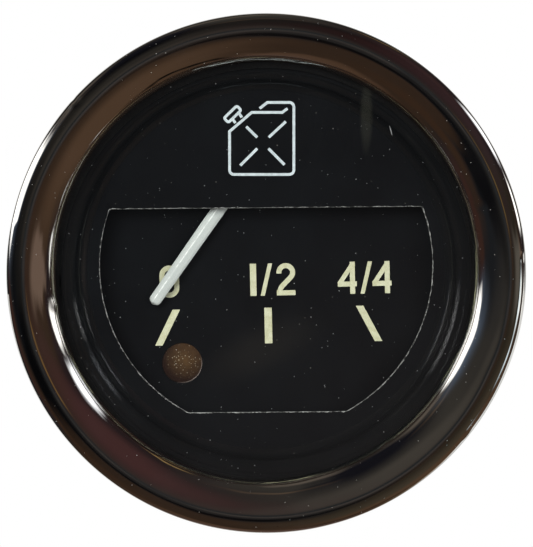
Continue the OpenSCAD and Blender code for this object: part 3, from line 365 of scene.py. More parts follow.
def amber_lens():
    # Moulded amber acrylic over a dark lamp: nearly black round its middle, brown at its middle by a painted
    # glow, and fine prisms with painted glints
    material, tree, shader, place = finish("moulded_amber_acrylic", {
        "Roughness": 0.25, "IOR": 1.49, "Coat Weight": 0.3, "Coat Roughness": 0.08})
    low, high = node_box("warning_lens")
    local = add(tree, "ShaderNodeVectorMath", {0: place, 1: (low + high) / 2 * MM}, operation="SUBTRACT")
    # Painted glow: a clouded brown middle painted where light comes through the dome
    painted_glow_at = add(tree, "ShaderNodeVectorMath", {
        0: local.outputs[0], 1: (0.3 * MM, 0.0, 0.5 * MM)}, operation="DISTANCE")
    glow = add(tree, "ShaderNodeMapRange", {
        0: painted_glow_at.outputs["Value"], 1: 2.6 * MM, 2: 0.4 * MM, 3: 0.0, 4: 1.0})
    cloud = add(tree, "ShaderNodeTexNoise", {
        "Vector": place, "Scale": per(0.7), "Detail": 4.0, "Roughness": 0.7})
    painted_glow_clouded = add(tree, "ShaderNodeMath", {0: glow.outputs[0], 1: cloud.outputs[0]}, operation="MULTIPLY")
    # Fine prisms, which bump the surface; their pale specks in the middle are painted glints
    prisms_and_glints = specks(tree, place, 0.25, 0.18, 0.95, flat=True)
    painted_glints = add(tree, "ShaderNodeMath", {0: prisms_and_glints, 1: glow.outputs[0]}, operation="MULTIPLY")
    # Painted highlight: a pale rim painted on the moulded shoulder, on the side away from the key lamp
    side = add(tree, "ShaderNodeVectorMath", {
        0: local.outputs[0], 1: (0.75, 0.0, -0.65)}, operation="DOT_PRODUCT")
    far = add(tree, "ShaderNodeMapRange", {
        0: side.outputs["Value"], 1: 1.0 * MM, 2: 2.2 * MM, 3: 0.0, 4: 0.55})
    rim = add(tree, "ShaderNodeMapRange", {
        0: from_axis(tree, local.outputs[0]), 1: 2.22 * MM, 2: 2.3 * MM, 3: 0.0, 4: 1.0})
    lit = add(tree, "ShaderNodeMath", {0: far.outputs[0], 1: rim.outputs[0]}, operation="MULTIPLY")
    coloured(tree, shader, "221713", (painted_glow_clouded.outputs[0], "6c5233"), (painted_glints.outputs[0], "b7a88f"),
             (lit.outputs[0], "a89c94"))
    raised(tree, shader, prisms_and_glints, 0.03)
    return material


def printed_ink(name, thin, full):
    # Pad-printed ink: nearly even and matte, and a little thinner in places
    material, tree, shader, place = finish(name, {"Roughness": 0.55, "IOR": 1.5})
    cover = add(tree, "ShaderNodeTexNoise", {
        "Vector": place, "Scale": per(0.6), "Detail": 4.0, "Roughness": 0.7})
    spread = add(tree, "ShaderNodeMapRange", {0: cover.outputs[0], 1: 0.3, 2: 0.62, 3: 0.0, 4: 1.0})
    coloured(tree, shader, thin, (spread.outputs[0], full))
    raised(tree, shader, cover.outputs[0], 0.02)
    return material


def bare_edge():
    # Where the window was punched after painting: bright torn steel with flakes of paint left on it. It is
    # so rough that it scatters light as a pale solid does, so it isn't set metallic.
    material, tree, shader, place = finish("bare_cut_edge", {"Roughness": 0.45, "IOR": 1.5})
    torn = add(tree, "ShaderNodeTexNoise", {
        "Vector": place, "Scale": per(0.5), "Detail": 4.0, "Roughness": 0.75})
    flakes = add(tree, "ShaderNodeMapRange", {0: torn.outputs[0], 1: 0.40, 2: 0.60, 3: 0.0, 4: 1.0})
    coloured(tree, shader, "2c2c2a", (flakes.outputs[0], "a9aaa6"))
    raised(tree, shader, torn.outputs[0], 0.05)
    return material


finishes = {
    "chrome_bezel": chrome_plate(),
    "clear_glass": clear_glass(),
    "bulb_glass": bulb_glass(),
    # Nitrile rubber: matte, dusty black
    "gasket_rubber": plain_surface("nitrile_rubber", "0c0c0c", "161616", 0.75, 0.3, 0.02, 0.3),
    # Moulded black ABS, polished by its mould, with dust on it
    "black_moulding": plain_surface("moulded_black_abs", "0a0b0c", "101112", 0.09, 1.2, 0.002, 0.3),
    # Sprayed black enamel on sheet steel: satin, with the finest orange peel
    "black_enamel": plain_surface("sprayed_black_enamel", "090a0c", "0e1012", 0.4, 0.25, 0.006, 0.5),
    "white_ink": printed_ink("printed_white_ink", "b2bcbe", "ccd7d9"),
    "cream_ink": printed_ink("printed_cream_ink", "b9b892", "cccdaf"),
    "amber_lens": amber_lens(),
    "pointer_white": white_lacquer(),
    # Turned and drawn brass: yellow metal with turning lines and a brown tarnish
    "turned_brass": metal_surface("turned_brass", "a5834b", "c9a869", 0.28, 0.25, (1.0, 0.2, 1.0), 0.004),
    # Drawn bright steel: grey metal with fine lines
    "bright_steel": metal_surface(
        "drawn_bright_steel", "a3a29d", "bdbcb7", 0.27, 0.2, (1.0, 0.1, 1.0), 0.004),
    # Annealed soft iron: darker, matte, with a faint oxide
    "soft_iron": metal_surface("annealed_soft_iron", "6f6963", "8b857d", 0.5, 0.4, (1.0, 1.0, 1.0), 0.01),
    # Phenolic moulding: dark brown and a little glossy
    "bobbin_moulding": plain_surface("moulded_phenolic", "2c1d16", "3b281e", 0.35, 0.4, 0.01),
    "copper_wire": wound_copper(),
    "zinc_plated_case": zinc_plate(),
    # Paper phenolic board: mid brown, with a faint weave of paper fibres
    "phenolic_board": plain_surface("paper_phenolic_board", "6a4027", "835434", 0.4, 0.35, 0.02),
    # White moulded styrene: slightly yellowed
    "white_moulding": plain_surface("moulded_white_styrene", "d3d0c4", "e2dfd4", 0.4, 0.6, 0.005),
}

for row in frame["record"]["subparts"]:
    mesh = nodes[row["node"]].data
    mesh.materials.clear()
    mesh.materials.append(finishes[row["material_slot"]])


# Modelling by hand

def deselect():
    """Nothing is selected afterwards, not even what the frame left selected."""
    if bpy.context.object and bpy.context.object.mode != "OBJECT":
        bpy.ops.object.mode_set(mode="OBJECT")
    bpy.ops.object.select_all(action="DESELECT")


def only(piece):
    """Makes a piece the active one, and the only one selected."""
    deselect()
    piece.select_set(True)
    bpy.context.view_layer.objects.active = piece


def whole():
    """In edit mode, selects the whole mesh."""
    bpy.ops.mesh.select_all(action="SELECT")


def edit_whole():
    """Opens the active piece in edit mode, by its vertices, all selected."""
    bpy.ops.object.mode_set(mode="EDIT")
    bpy.ops.mesh.select_mode(type="VERT")
    whole()


def primitive(kind, name, **placing):
    """Adds a primitive, alone selected and in edit mode."""
    deselect()
    getattr(bpy.ops.mesh, f"primitive_{kind}_add")(**placing)
    piece = bpy.context.object
    piece.name = piece.data.name = name
    bpy.ops.object.transform_apply(location=True, rotation=True, scale=True)
    edit_whole()
    return piece


def pick(kind, test):
    """In edit mode, selects the vertices, edges or faces that pass the test, and says how many."""
    mesh = bpy.context.object.data
    bpy.ops.mesh.select_all(action="DESELECT")
    bpy.ops.mesh.select_mode(type=kind)
    shape = bmesh.from_edit_mesh(mesh)
    found = 0
    for part in {"VERT": shape.verts, "EDGE": shape.edges, "FACE": shape.faces}[kind]:
        if test(part):
            part.select_set(True)
            found += 1
    shape.select_flush_mode()
    bmesh.update_edit_mesh(mesh)
    return found


def out_by(vertex):
    """Distance of a vertex from the case axis, in mm."""
    return math.hypot(vertex.co.x, vertex.co.z) / MM


def clock_of(vertex):
    """Clock angle of a vertex, less 90: 0 is on the right, 90 at the foot."""
    return math.degrees(math.atan2(-vertex.co.z, vertex.co.x))


def slide(x, y, z, **how):
    """Moves the selection by so many mm."""
    bpy.ops.transform.translate(value=(x * MM, y * MM, z * MM), **how)


def softly(reach):
    """Settings for a transform that fades out over so many mm round the selection."""
    return {"use_proportional_edit": True, "proportional_edit_falloff": "SMOOTH",
            "proportional_size": reach * MM}


def cut(at, across, **how):
    """Cuts the whole mesh by a plane through a point in mm."""
    whole()
    bpy.ops.mesh.bisect(plane_co=Vector(at) * MM, plane_no=across, **how)


def ease_edges(size, segments, **how):
    """Bevels the selected edges by so many mm."""
    bpy.ops.mesh.bevel(offset=size * MM, segments=segments, affect="EDGES", **how)


def face_out():
    """Turns every face of the mesh outwards."""
    whole()
    bpy.ops.mesh.normals_make_consistent(inside=False)


def push_out(x, y, z):
    """Extrudes the selection by so many mm."""
    bpy.ops.mesh.extrude_region_move(TRANSFORM_OT_translate={"value": (x * MM, y * MM, z * MM)})


def arc(centre, radius, first, last, steps, depth=None):
    """Section points on a round; the angle is the lean of the surface from the reader, outwards positive.

    With a depth the round is flattened to that depth.
    """
    angles = [math.radians(first + (last - first) * i / steps) for i in range(steps + 1)]
    return [(centre[0] + radius * math.sin(a), centre[1] - (depth or radius) * math.cos(a)) for a in angles]


def turned(name, section, steps, axis_at=(0.0, 0.0)):
    """Draws a closed section point by point, (radius, depth) in mm, and spins it round an axis along Y."""
    x0, z0 = axis_at
    piece = primitive("plane", name, size=MM, location=(0, 0, 0))
    bpy.ops.mesh.merge(type="CENTER")
    slide(x0 + section[0][0], section[0][1], z0)
    loop = list(section) + [section[0]]
    for (r0, y0), (r1, y1) in zip(loop, loop[1:]):
        push_out(r1 - r0, y1 - y0, 0)
    whole()
    bpy.ops.mesh.remove_doubles(threshold=0.5e-6)
    bpy.ops.mesh.spin(steps=steps, angle=math.tau, center=(x0 * MM, 0, z0 * MM), axis=(0, 1, 0))
    whole()
    bpy.ops.mesh.remove_doubles(threshold=2e-6)
    face_out()
    return piece


def finished(piece, body, slot, *stands_for, smooth=30):
    """Leaves edit mode, smooths the piece, and gives it its finish, its body and the nodes it stands for."""
    only(piece)
    bpy.ops.object.shade_smooth_by_angle(angle=math.radians(smooth))
    if not piece.data.materials:
        piece.data.materials.append(finishes[slot])
    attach(piece, body)
    if stands_for:
        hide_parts(*stands_for)
    deselect()
    return piece


# Bezel

def bezel_section():
    """Section of the pressed ring: a skirt, a flat shoulder, a broad face falling to the glass, and a lip."""
    sheet = 0.5
    face_r, shoulder_r, shoulder_depth, lip_bend_r, skirt_r = 4.5, 1.8, 1.0, 1.965, 0.7
    crest_r = RIM_R - shoulder_r
    shoulder = (crest_r, rim_low.y + shoulder_depth)
    face = (crest_r, rim_low.y + face_r)
    bend_at = arc(face, face_r, -45, -45, 1)[0]
    lean = math.sin(math.radians(45))
    bend = (bend_at[0] + lip_bend_r * lean, bend_at[1] + lip_bend_r * lean)
    lip_end = arc(bend, lip_bend_r - sheet / 2, -85, -85, 1)[0]
    lip = (lip_end[0], min(lip_end[1], LENS_Y - sheet / 2 - 0.02))
    flange_r = 26.15
    skirt_mid = RIM_R - skirt_r
    return (
        [(flange_r, -0.08), (flange_r + 0.08, 0.0), (skirt_mid, 0.0)]
        + [(skirt_mid + skirt_r * math.sin(math.radians(t)), -skirt_r + skirt_r * math.cos(math.radians(t)))
           for t in range(15, 91, 15)]
        + arc(shoulder, shoulder_r, 90, 0, 26, shoulder_depth)
        + arc(face, face_r, -2, -45, 22)
        + arc(bend, lip_bend_r, -49, -85, 10)
        + [(lip[0] - sheet / 2 * math.cos(math.radians(t)), lip[1] + sheet / 2 * math.sin(math.radians(t)))
           for t in range(20, 161, 20)]
        + arc(bend, lip_bend_r - sheet, -80, -45, 5)
        + arc(face, face_r - sheet, -36, 0, 5)
        + arc(shoulder, shoulder_r - sheet, 15, 90, 6, shoulder_depth - sheet)
        + [(RIM_R - sheet, -1.0), (RIM_R - sheet - 0.25, -0.6), (flange_r + 0.08, -0.6), (flange_r, -0.52)]
    )


def make_bezel():
    """The pressed ring, turned in 360 steps, with knocks and wear, and with its opening as it was rolled."""
    piece = turned("bezel_ring", bezel_section(), 360)

    # Small knocks, in mm: the place, how far round it the metal gives, and the push
    knocks = [
        (24.9, -6.0, 7.6, 0.9, (-0.12, 0.10, 0.0)), (25.3, -5.4, 5.0, 0.6, (-0.08, 0.08, 0.0)),
        (-21.7, -5.9, 19.6, 0.8, (0.10, 0.10, -0.09)), (3.8, -5.4, -29.3, 0.7, (0.0, 0.12, 0.10)),
        (-24.2, -5.0, -4.0, 1.0, (0.10, 0.05, 0.02)), (14.0, -4.5, -20.2, 0.9, (0.05, -0.06, 0.10)),
    ]
    for x, y, z, reach, push in knocks:
        spot = Vector((x, y, z))
        if pick("VERT", lambda v: (v.co / MM - spot).length < 0.35):
            slide(*push, **softly(reach))

    # The lower right and the left of the shoulder are worn a little flatter towards the skirt
    for first, last, depth in ((-3, 39, 0.15), (-168, -140, 0.09)):
        pick("VERT", lambda v: (
            out_by(v) > 29.5 and v.co.y / MM < rim_low.y + 1.2 and first < clock_of(v) < last))
        slide(0, depth, 0, **softly(0.45))

    # The opening is rolled a little small and high, so the face is broader at its foot, and it comes in
    # further at the lower right
    pick("VERT", lambda v: out_by(v) < 25.3)
    bpy.ops.transform.resize(value=(0.992, 1, 0.992), center_override=(0, 0, 0), **softly(3))
    slide(-0.16, 0, 0.30, **softly(3))
    pick("VERT", lambda v: out_by(v) < 25.2 and 25 < clock_of(v) < 75)
    slide(-0.13, 0, 0.18, **softly(6))
    return finished(piece, "gauge_case", "chrome_bezel", "bezel", smooth=60)


# Glass and rings

def make_glass():
    """Flat glass: a disc with its rim edges ground off."""
    low, high = node_box("lens")
    ease = 0.25
    piece = primitive(
        "cylinder", "glass_disc", vertices=180, radius=high.x * MM, depth=(high.y - low.y) * MM,
        location=(0, (low.y + high.y) / 2 * MM, 0), rotation=(math.pi / 2, 0, 0))
    pick("EDGE", lambda e: abs(e.verts[0].co.y - e.verts[1].co.y) < 1e-7)
    ease_edges(ease, 3)
    # The angle keeps the flat faces out of the smoothing, so the glass mirrors as a plane
    return finished(piece, "gauge_case", "clear_glass", "lens", smooth=10)


def cove(start, end, steps):
    """Section points of a hollow quarter round, steep at its start and level at its end.

    The start itself is left out.
    """
    turns = [math.radians(90 * i / steps) for i in range(1, steps + 1)]
    return [(start[0] + (end[0] - start[0]) * (1 - math.cos(t)), start[1] + (end[1] - start[1]) * math.sin(t))
            for t in turns]


def make_trim_ring():
    """Black moulded ring under the glass: a rim, a small step, a bevel and a deep cove down to the mask."""
    low, high = node_box("trim_ring")
    top, foot, outer = low.y, high.y, high.x
    rim, bevel_from, hole, wall, ease = 23.3, 22.75, 20.9, 0.8, 0.12
    flat = top + 0.35
    web = foot - (foot - top) / 2
    # The bevel is a shallow round, leaning from 34 to 46 degrees, and ends in a crisp edge
    broad, crisp = 3.4, 0.06
    steep, slight = math.radians(46), math.radians(34)
    bevel_mid = (bevel_from + broad * math.sin(slight), flat + broad * math.cos(slight))
    between = broad - crisp
    edge_mid = (bevel_mid[0] - between * math.sin(steep), bevel_mid[1] - between * math.cos(steep))
    section = (
        [(outer, top + 0.06), (outer - 0.06, top)]
        + arc((rim + ease, top + ease), ease, 0, -90, 5)
        + cove((rim, top + ease), (rim - 0.12, flat), 5)
        + arc(bevel_mid, broad, -34, -46, 6)
        + arc(edge_mid, crisp, -60, -90, 2)
        + cove((edge_mid[0] - crisp, edge_mid[1]), (hole, foot - 0.05), 14)
        + [(hole, foot), (hole + wall, foot), (bevel_from - 0.1, web),
           (outer - wall, web), (outer - wall, foot), (outer, foot)]
    )
    piece = turned("trim_cone_ring", section, 240)
    # The bevel and the cove sit a little high in the rim
    pick("VERT", lambda v: out_by(v) < 22.9)
    slide(-0.05, 0, 0.4)
    return finished(piece, "gauge_case", "black_moulding", "trim_ring", smooth=35)


# Mask

def window_outline(name, front):
    """A new piece that holds the window's outline only: a circle, cut level above and below."""
    window_r, rise, top, bottom, corner, turn = 19.4, 0.9, 7.6, -16.15, 0.48, 0.5
    piece = primitive(
        "circle", name, vertices=420, radius=window_r * MM, fill_type="NGON",
        location=(0, front * MM, rise * MM), rotation=(math.pi / 2, 0, 0))
    cut((0, 0, top), (0, 0, 1), clear_outer=True)
    cut((0, 0, bottom), (0, 0, 1), clear_inner=True)
    level = (top, bottom)
    pick("VERT", lambda v: any(abs(v.co.z / MM - z) < 1e-3 for z in level))
    bpy.ops.mesh.bevel(offset=corner * MM, segments=6, affect="VERTICES")
    # Only the outline stays; its straight cuts get points as close as the arcs', so that their torn edge can
    # wander
    whole()
    bpy.ops.mesh.delete(type="ONLY_FACE")
    pick("EDGE", lambda e: e.calc_length() > 5 * MM)
    bpy.ops.mesh.subdivide(number_cuts=110)
    whole()
    bpy.ops.transform.rotate(
        value=math.radians(turn), orient_axis="Y", center_override=(0, front * MM, 0))
    return piece


def make_mask():
    """Sheet steel plate with the window punched through it; the cut shows as a thin bright torn edge."""
    low, high = node_box("mask_plate")
    front, back, outer = low.y, high.y, high.x
    piece = window_outline("mask_sheet", front)
    # The plate's own outline joins it, and the sheet is bridged between the two
    bpy.ops.mesh.primitive_circle_add(
        vertices=240, radius=outer * MM, fill_type="NOTHING", location=(0, front * MM, 0),
        rotation=(math.pi / 2, 0, 0))
    whole()
    bpy.ops.mesh.bridge_edge_loops()
    whole()
    push_out(0, back - front, 0)
    face_out()
    # Further out than the window and further in than the plate's outline
    inside = 23.5

    def in_front(v):
        return abs(v.co.y / MM - front) < 1e-3

    def on_chamfer(f):
        return 0.2 < abs(f.normal.y) < 0.95 and math.hypot(*f.calc_center_median().xz) / MM < inside

    pick("EDGE", lambda e: all(in_front(v) and out_by(v) < inside for v in e.verts)
         and any(abs(f.normal.y) < 0.5 for f in e.link_faces))
    ease_edges(0.09, 1)
    piece.data.materials.append(finishes["black_enamel"])
    piece.data.materials.append(cut_metal)
    pick("FACE", on_chamfer)
    piece.active_material_index = 1
    bpy.ops.object.material_slot_assign()
    # The torn edge wanders in the plane of the sheet
    pick("VERT", lambda v: in_front(v) and any(on_chamfer(f) for f in v.link_faces))
    bpy.ops.transform.vertex_random(offset=0.055 * MM, uniform=1.0, seed=7)
    bpy.ops.transform.resize(value=(1, 0, 1), center_override=(0, front * MM, 0))
    piece.active_material_index = 0
    return finished(piece, "gauge_case", "black_enamel", "mask_plate", smooth=25)


# Pointer

def pointer_blade(back):
    """Tapering, softly crowned blade with a round end, hanging straight down."""
    length, root, tip, edge, crown, start = 23.25, 1.72, 1.42, 0.55, 0.32, 1.5
    piece = primitive("cube", "pointer_blade", size=1, location=(0, 0, 0))
    bpy.ops.transform.resize(value=(root * MM, edge * MM, (length - start) * MM))
    slide(0, back - edge / 2, PIVOT_Z - (length + start) / 2)
    # Lengthwise cuts, each lifted to its place on the crown, whose ridge runs a little left of the middle
    lifts = {-0.46: 0.36, -0.4: 0.58, -0.28: 0.82, -0.13: 0.97, -0.1: 1.0, -0.07: 0.95,
             0.1: 0.8, 0.28: 0.62, 0.4: 0.44, 0.46: 0.28}
    for share in lifts:
        cut((share * root, 0, 0), (1, 0, 0))
    for share, lift in lifts.items():
        pick("VERT", lambda v: v.co.y / MM < back - 0.1 and abs(v.co.x / MM - share * root) < 1e-3)
        slide(0, -crown * lift, 0)
    # Cuts across the end follow a half circle, so the blade closes in a round tip
    end = PIVOT_Z - length
    heights = {angle: end + tip / 2 * (1 - math.cos(math.radians(angle))) for angle in range(0, 91, 15)}
    for angle, height in heights.items():
        if angle:
            cut((0, 0, height), (0, 0, 1))
    for angle, height in heights.items():
        width = tip * max(math.sin(math.radians(angle)), 0.12)
        pick("VERT", lambda v: abs(v.co.z / MM - height) < 1e-3)
        fall = 0.25 + 0.75 * math.sin(math.radians(angle))
        bpy.ops.transform.resize(
            value=(width / root, fall, 1), center_override=(0, back * MM, height * MM))
    face_out()
    return piece


def make_pointer():
    """White pointer: its blade, and a boss on the shaft, a disc with an eased edge."""
    low, high = node_box("pointer")
    back = high.y
    boss_r, boss_t = 2.4, (back - low.y) * 2 / 3
    piece = pointer_blade(back)
    bpy.ops.mesh.select_all(action="DESELECT")
    bpy.ops.mesh.primitive_cylinder_add(
        vertices=64, radius=boss_r * MM, depth=boss_t * MM, rotation=(math.pi / 2, 0, 0),
        location=(0, (back - boss_t / 2) * MM, PIVOT_Z * MM))
    pick("EDGE", lambda e: all(
        abs(math.hypot(v.co.x / MM, v.co.z / MM - PIVOT_Z) - boss_r) < 1e-3
        and abs(v.co.y / MM - back + boss_t) < 1e-3 for v in e.verts))
    ease_edges(0.15, 3)
    whole()
    bpy.ops.transform.rotate(
        value=math.radians(-REST_LEAN), orient_axis="Y", center_override=(0, 0, PIVOT_Z * MM))
    return finished(piece, "pointer_assembly", "pointer_white", "pointer", smooth=28)


# Warning lens

def make_warning_lens():
    """Low dome that stands out of its hole in the dial, with a wider flange behind the dial."""
    low, high = node_box("warning_lens")
    at = ((low.x + high.x) / 2, (low.z + high.z) / 2)
    top, back, flange, radius = low.y, high.y, (high.x - low.x) / 2, 2.35
    plate = node_box("dial_plate")
    dome_h = plate[0].y - top
    dome_r = (radius ** 2 + dome_h ** 2) / (2 * dome_h)
    half = math.degrees(math.asin((radius - 0.12) / dome_r))
    mid = (0.0, top + dome_r)
    section = arc(mid, dome_r, math.degrees(PINHOLE / dome_r), half, 18)
    section += [(radius - 0.03, plate[0].y - 0.02), (radius, plate[0].y + 0.08), (radius, plate[1].y),
                (flange, plate[1].y), (flange, back), (PINHOLE, back)]
    piece = turned("warning_lens_dome", section, 72, at)
    return finished(piece, "gauge_case", "amber_lens", "warning_lens", smooth=25)


# Back of the case

def copied(piece, name, x, y):
    """A copy of a finished piece with its own mesh, moved by so many mm in edit mode."""
    only(piece)
    bpy.ops.object.duplicate()
    twin = bpy.context.object
    twin.name = twin.data.name = name
    edit_whole()
    slide(x, y, 0)
    deselect()
    return twin


def make_studs():
    """Threaded M4 studs for the clamp, as turned from bar; the thread is drawn as rings one pitch apart."""
    low, high = node_box("mounting_studs")
    head_r = (high.z - low.z) / 2
    x, z = high.x - head_r, (low.z + high.z) / 2
    root, crest, pitch, thread_y = 1.6, 1.98, 0.7, 42.0
    head_t, ease = 1.2, 0.25
    section = [(PINHOLE, low.y), (head_r - ease, low.y), (head_r, low.y + ease), (head_r, low.y + head_t),
               (root, low.y + head_t), (root, thread_y)]
    for turn in range(int((high.y - thread_y) / pitch)):
        at = thread_y + turn * pitch
        section += [(crest, at + 0.3), (crest, at + 0.4), (root, at + pitch)]
    end = high.y - 0.002
    section += [(root - 0.15, end), (PINHOLE, end)]
    stud = finished(turned("stud_right", section, 48, (x, z)), "gauge_case", "bright_steel",
                    "mounting_studs", smooth=20)
    copied(stud, "stud_left", -2 * x, 0)
    return x, z


def make_nuts(x, z):
    """Hexagon nuts, chamfered: a turned blank that is cut by six flats."""
    low, high = node_box("stud_nuts")
    flats = (high.z - low.z) / 2
    blank = flats / math.cos(math.radians(30))
    bore, thick, tab_t, ease, inset = 1.66, 3.2, 0.8, 0.25, 0.1
    near, far = high.y - thick, high.y
    chamfer = (blank - flats + inset) * math.tan(math.radians(30))
    section = [(bore + ease, near), (flats - inset, near), (blank, near + chamfer), (blank, far - chamfer),
               (flats - inset, far), (bore + ease, far), (bore, far - ease), (bore, near + ease)]
    piece = turned("nut_right", section, 96, (x, z))
    for side in range(6):
        lean = math.radians(30 + 60 * side)
        way = Vector((math.cos(lean), 0, math.sin(lean)))
        cut(Vector((x, 0, z)) + way * flats, way, use_fill=True, clear_outer=True)
    face_out()
    nut = finished(piece, "gauge_case", "bright_steel", "stud_nuts", smooth=20)
    # The right nut stands on the earth tab, one sheet further out
    copied(nut, "nut_left", -2 * x, -tab_t)


def softened(node, slot, ease):
    """A copy of a CAD node, merged, with its sharp edges eased, as real made parts have them."""
    name = node + "_eased"
    piece = bpy.data.objects.new(name, nodes[node].data.copy())
    piece.data.name = name
    scene.collection.objects.link(piece)
    only(piece)
    edit_whole()
    bpy.ops.mesh.remove_doubles(threshold=1e-6)
    bpy.ops.mesh.dissolve_limited(angle_limit=math.radians(1))
    pick("EDGE", lambda e: len(e.link_faces) == 2 and e.calc_face_angle(0.0) > math.radians(50))
    ease_edges(ease, 2, clamp_overlap=True)
    return finished(piece, "gauge_case", slot, node)


cut_metal = bare_edge()
make_bezel()
make_glass()
make_trim_ring()
make_mask()
make_pointer()
make_warning_lens()
make_nuts(*make_studs())
for node, slot, ease in (
        ("case_shell", "zinc_plated_case", 0.12), ("stud_washers", "bright_steel", 0.1),
        ("terminal_board", "phenolic_board", 0.2), ("supply_terminal", "turned_brass", 0.1),
        ("sender_terminal", "turned_brass", 0.1), ("earth_tab", "turned_brass", 0.1),
        ("terminal_rivets", "turned_brass", 0.12), ("case_screws", "bright_steel", 0.12),
        ("warning_lamp_holder", "zinc_plated_case", 0.2), ("dial_lamp_holder", "zinc_plated_case", 0.2),
        ("warning_lamp_contact", "turned_brass", 0.1), ("dial_lamp_contact", "turned_brass", 0.1)):
    softened(node, slot, ease)


# Floor, room and lamps

def make_floor():
    """Pale studio floor under and behind the gauge: white to the eye and to metal, but it keeps shadows."""
    size, front, level, share = 4.0, 0.2, -0.16, 0.445
    deselect()
    bpy.ops.mesh.primitive_plane_add(size=size, location=(0, front + size / 2, level))
    floor = bpy.context.object
    floor.name = "studio_floor"
    bpy.ops.transform.resize(value=(1, share, 1), center_override=(0, front, 0))
    bpy.ops.object.transform_apply(location=True, rotation=True, scale=True)
    material = bpy.data.materials.new("pale_floor")
    material.use_nodes = True
    tree = material.node_tree
    tree.nodes.clear()
    paint = add(tree, "ShaderNodeBsdfDiffuse", {"Color": grey(0.5)})
    path = add(tree, "ShaderNodeLightPath")
    seen = path.outputs["Is Camera Ray"]
    for ray in ("Is Glossy Ray", "Is Transmission Ray"):
        seen = add(tree, "ShaderNodeMath", {0: seen, 1: path.outputs[ray]}, operation="MAXIMUM").outputs[0]
    lift = add(tree, "ShaderNodeMath", {0: seen, 1: 0.62}, operation="MULTIPLY")
    glow = add(tree, "ShaderNodeEmission", {"Color": grey(1.0), "Strength": lift.outputs[0]})
    both = add(tree, "ShaderNodeAddShader", {0: paint.outputs[0], 1: glow.outputs[0]})
    add(tree, "ShaderNodeOutputMaterial", {"Surface": both.outputs[0]})
    floor.data.materials.append(material)
    deselect()


# Things in the dim room, each a soft patch on the mirror ball: its name, how far out it lies (0 straight
# behind the camera, 0.707 level with the gauge, 1 behind the gauge), its clock angle, its lean from the
# line out from the middle, its half sizes across that line and along it, its softness, colour and strength
ROOM = [
    ("left wall", 0.55, 255, 0, 0.50, 0.50, 0.5, "25272b", 0.85),
    ("wall above", 0.50, 345, 0, 0.36, 0.50, 0.3, "4a4743", 0.7),
    ("pale spot above", 0.13, 328, 0, 0.08, 0.09, 0.5, "4f4b46", 0.95),
    ("warm ledge", 0.40, 336, 4, 0.26, 0.022, 0.6, "6b5b4d", 0.9),
    ("pale ledge", 0.62, 328, 0, 0.42, 0.05, 0.6, "6f665e", 0.9),
    ("right wall", 0.50, 60, 0, 0.40, 0.40, 0.5, "33282a", 0.8),
    ("brown cupboard", 0.33, 110, 0, 0.28, 0.28, 0.15, "46362b", 0.75),
    ("brown floor", 0.62, 175, 0, 0.66, 0.42, 0.14, "46362b", 0.7),
    ("lit floor", 0.50, 135, 0, 0.30, 0.26, 0.6, "6c5442", 0.7),
    ("floor streak", 0.63, 195, 0, 0.25, 0.05, 0.5, "5d4738", 0.9),
    ("pale floor line", 0.73, 130, 0, 0.30, 0.03, 0.5, "9a8062", 0.9),
    ("floor behind", 0.82, 182, 0, 0.42, 0.15, 0.5, "6a554c", 0.9),
    ("dark hollow above", 0.50, 331, 0, 0.13, 0.22, 0.45, "1b1b22", 0.8),
    ("dark floor line", 0.64, 158, 0, 0.20, 0.018, 0.6, "18130f", 0.8),
    ("dark mark below", 0.145, 191, -53, 0.10, 0.03, 0.6, "121011", 1.0),
    ("brown patch below", 0.30, 216, 0, 0.12, 0.14, 0.3, "3d2f26", 0.9),
    ("dark mark on the left", 0.13, 207, 10, 0.09, 0.03, 0.6, "121011", 1.0),
    ("dark upright", 0.22, 244, 0, 0.05, 0.18, 0.5, "131316", 0.9),
    ("brown haze", 0.47, 228, 6, 0.22, 0.09, 0.8, "4c382b", 0.7),
    ("skirting board", 0.61, 255, 0, 0.22, 0.08, 0.5, "46302a", 0.85),
    ("maroon curtain", 0.31, 41, 0, 0.12, 0.20, 0.7, "4a3131", 1.1),
    ("orange line", 0.67, 28, -8, 0.075, 0.014, 0.6, "b89a68", 0.8),
    ("orange spot", 0.07, 69, 0, 0.014, 0.014, 0.6, "b38a55", 0.5),
    ("beige patch", 0.39, 90, 0, 0.055, 0.20, 0.3, "7a665a", 1.0),
    # Daylight at the windows, left and right, nearly level with the gauge
    ("glow at the left window", 0.58, 290, 0, 0.13, 0.16, 0.8, "8fa0bb", 0.45),
    ("left window", 0.66, 291, 0, 0.145, 0.12, 0.25, "ffffff", 2.6),
    ("right window", 0.65, 59, 0, 0.085, 0.105, 0.4, "f4f7ff", 2.4),
    ("right window, low pane", 0.66, 76, 0, 0.06, 0.08, 0.4, "ffffff", 2.4),
    ("right sill", 0.69, 96, 0, 0.09, 0.03, 0.5, "ffffff", 1.8),
    ("white table", 0.76, 116, 0, 0.42, 0.08, 0.3, "eef2f6", 1.3),
    # Straight behind the camera, where only the flat glass looks
    ("dim corner", 0.0, 0, 0, 0.030, 0.030, 0.9, "272b2e", 1.0),
    ("pale shape", 0.022, 150, 0, 0.026, 0.018, 0.9, "45403f", 1.0),
    ("pale upright", 0.0184, 31, -31, 0.0005, 0.0030, 0.5, "6c6d60", 1.2),
    ("pale smudge", 0.0072, 185, 60, 0.0016, 0.0045, 0.8, "554f48", 1.3),
]


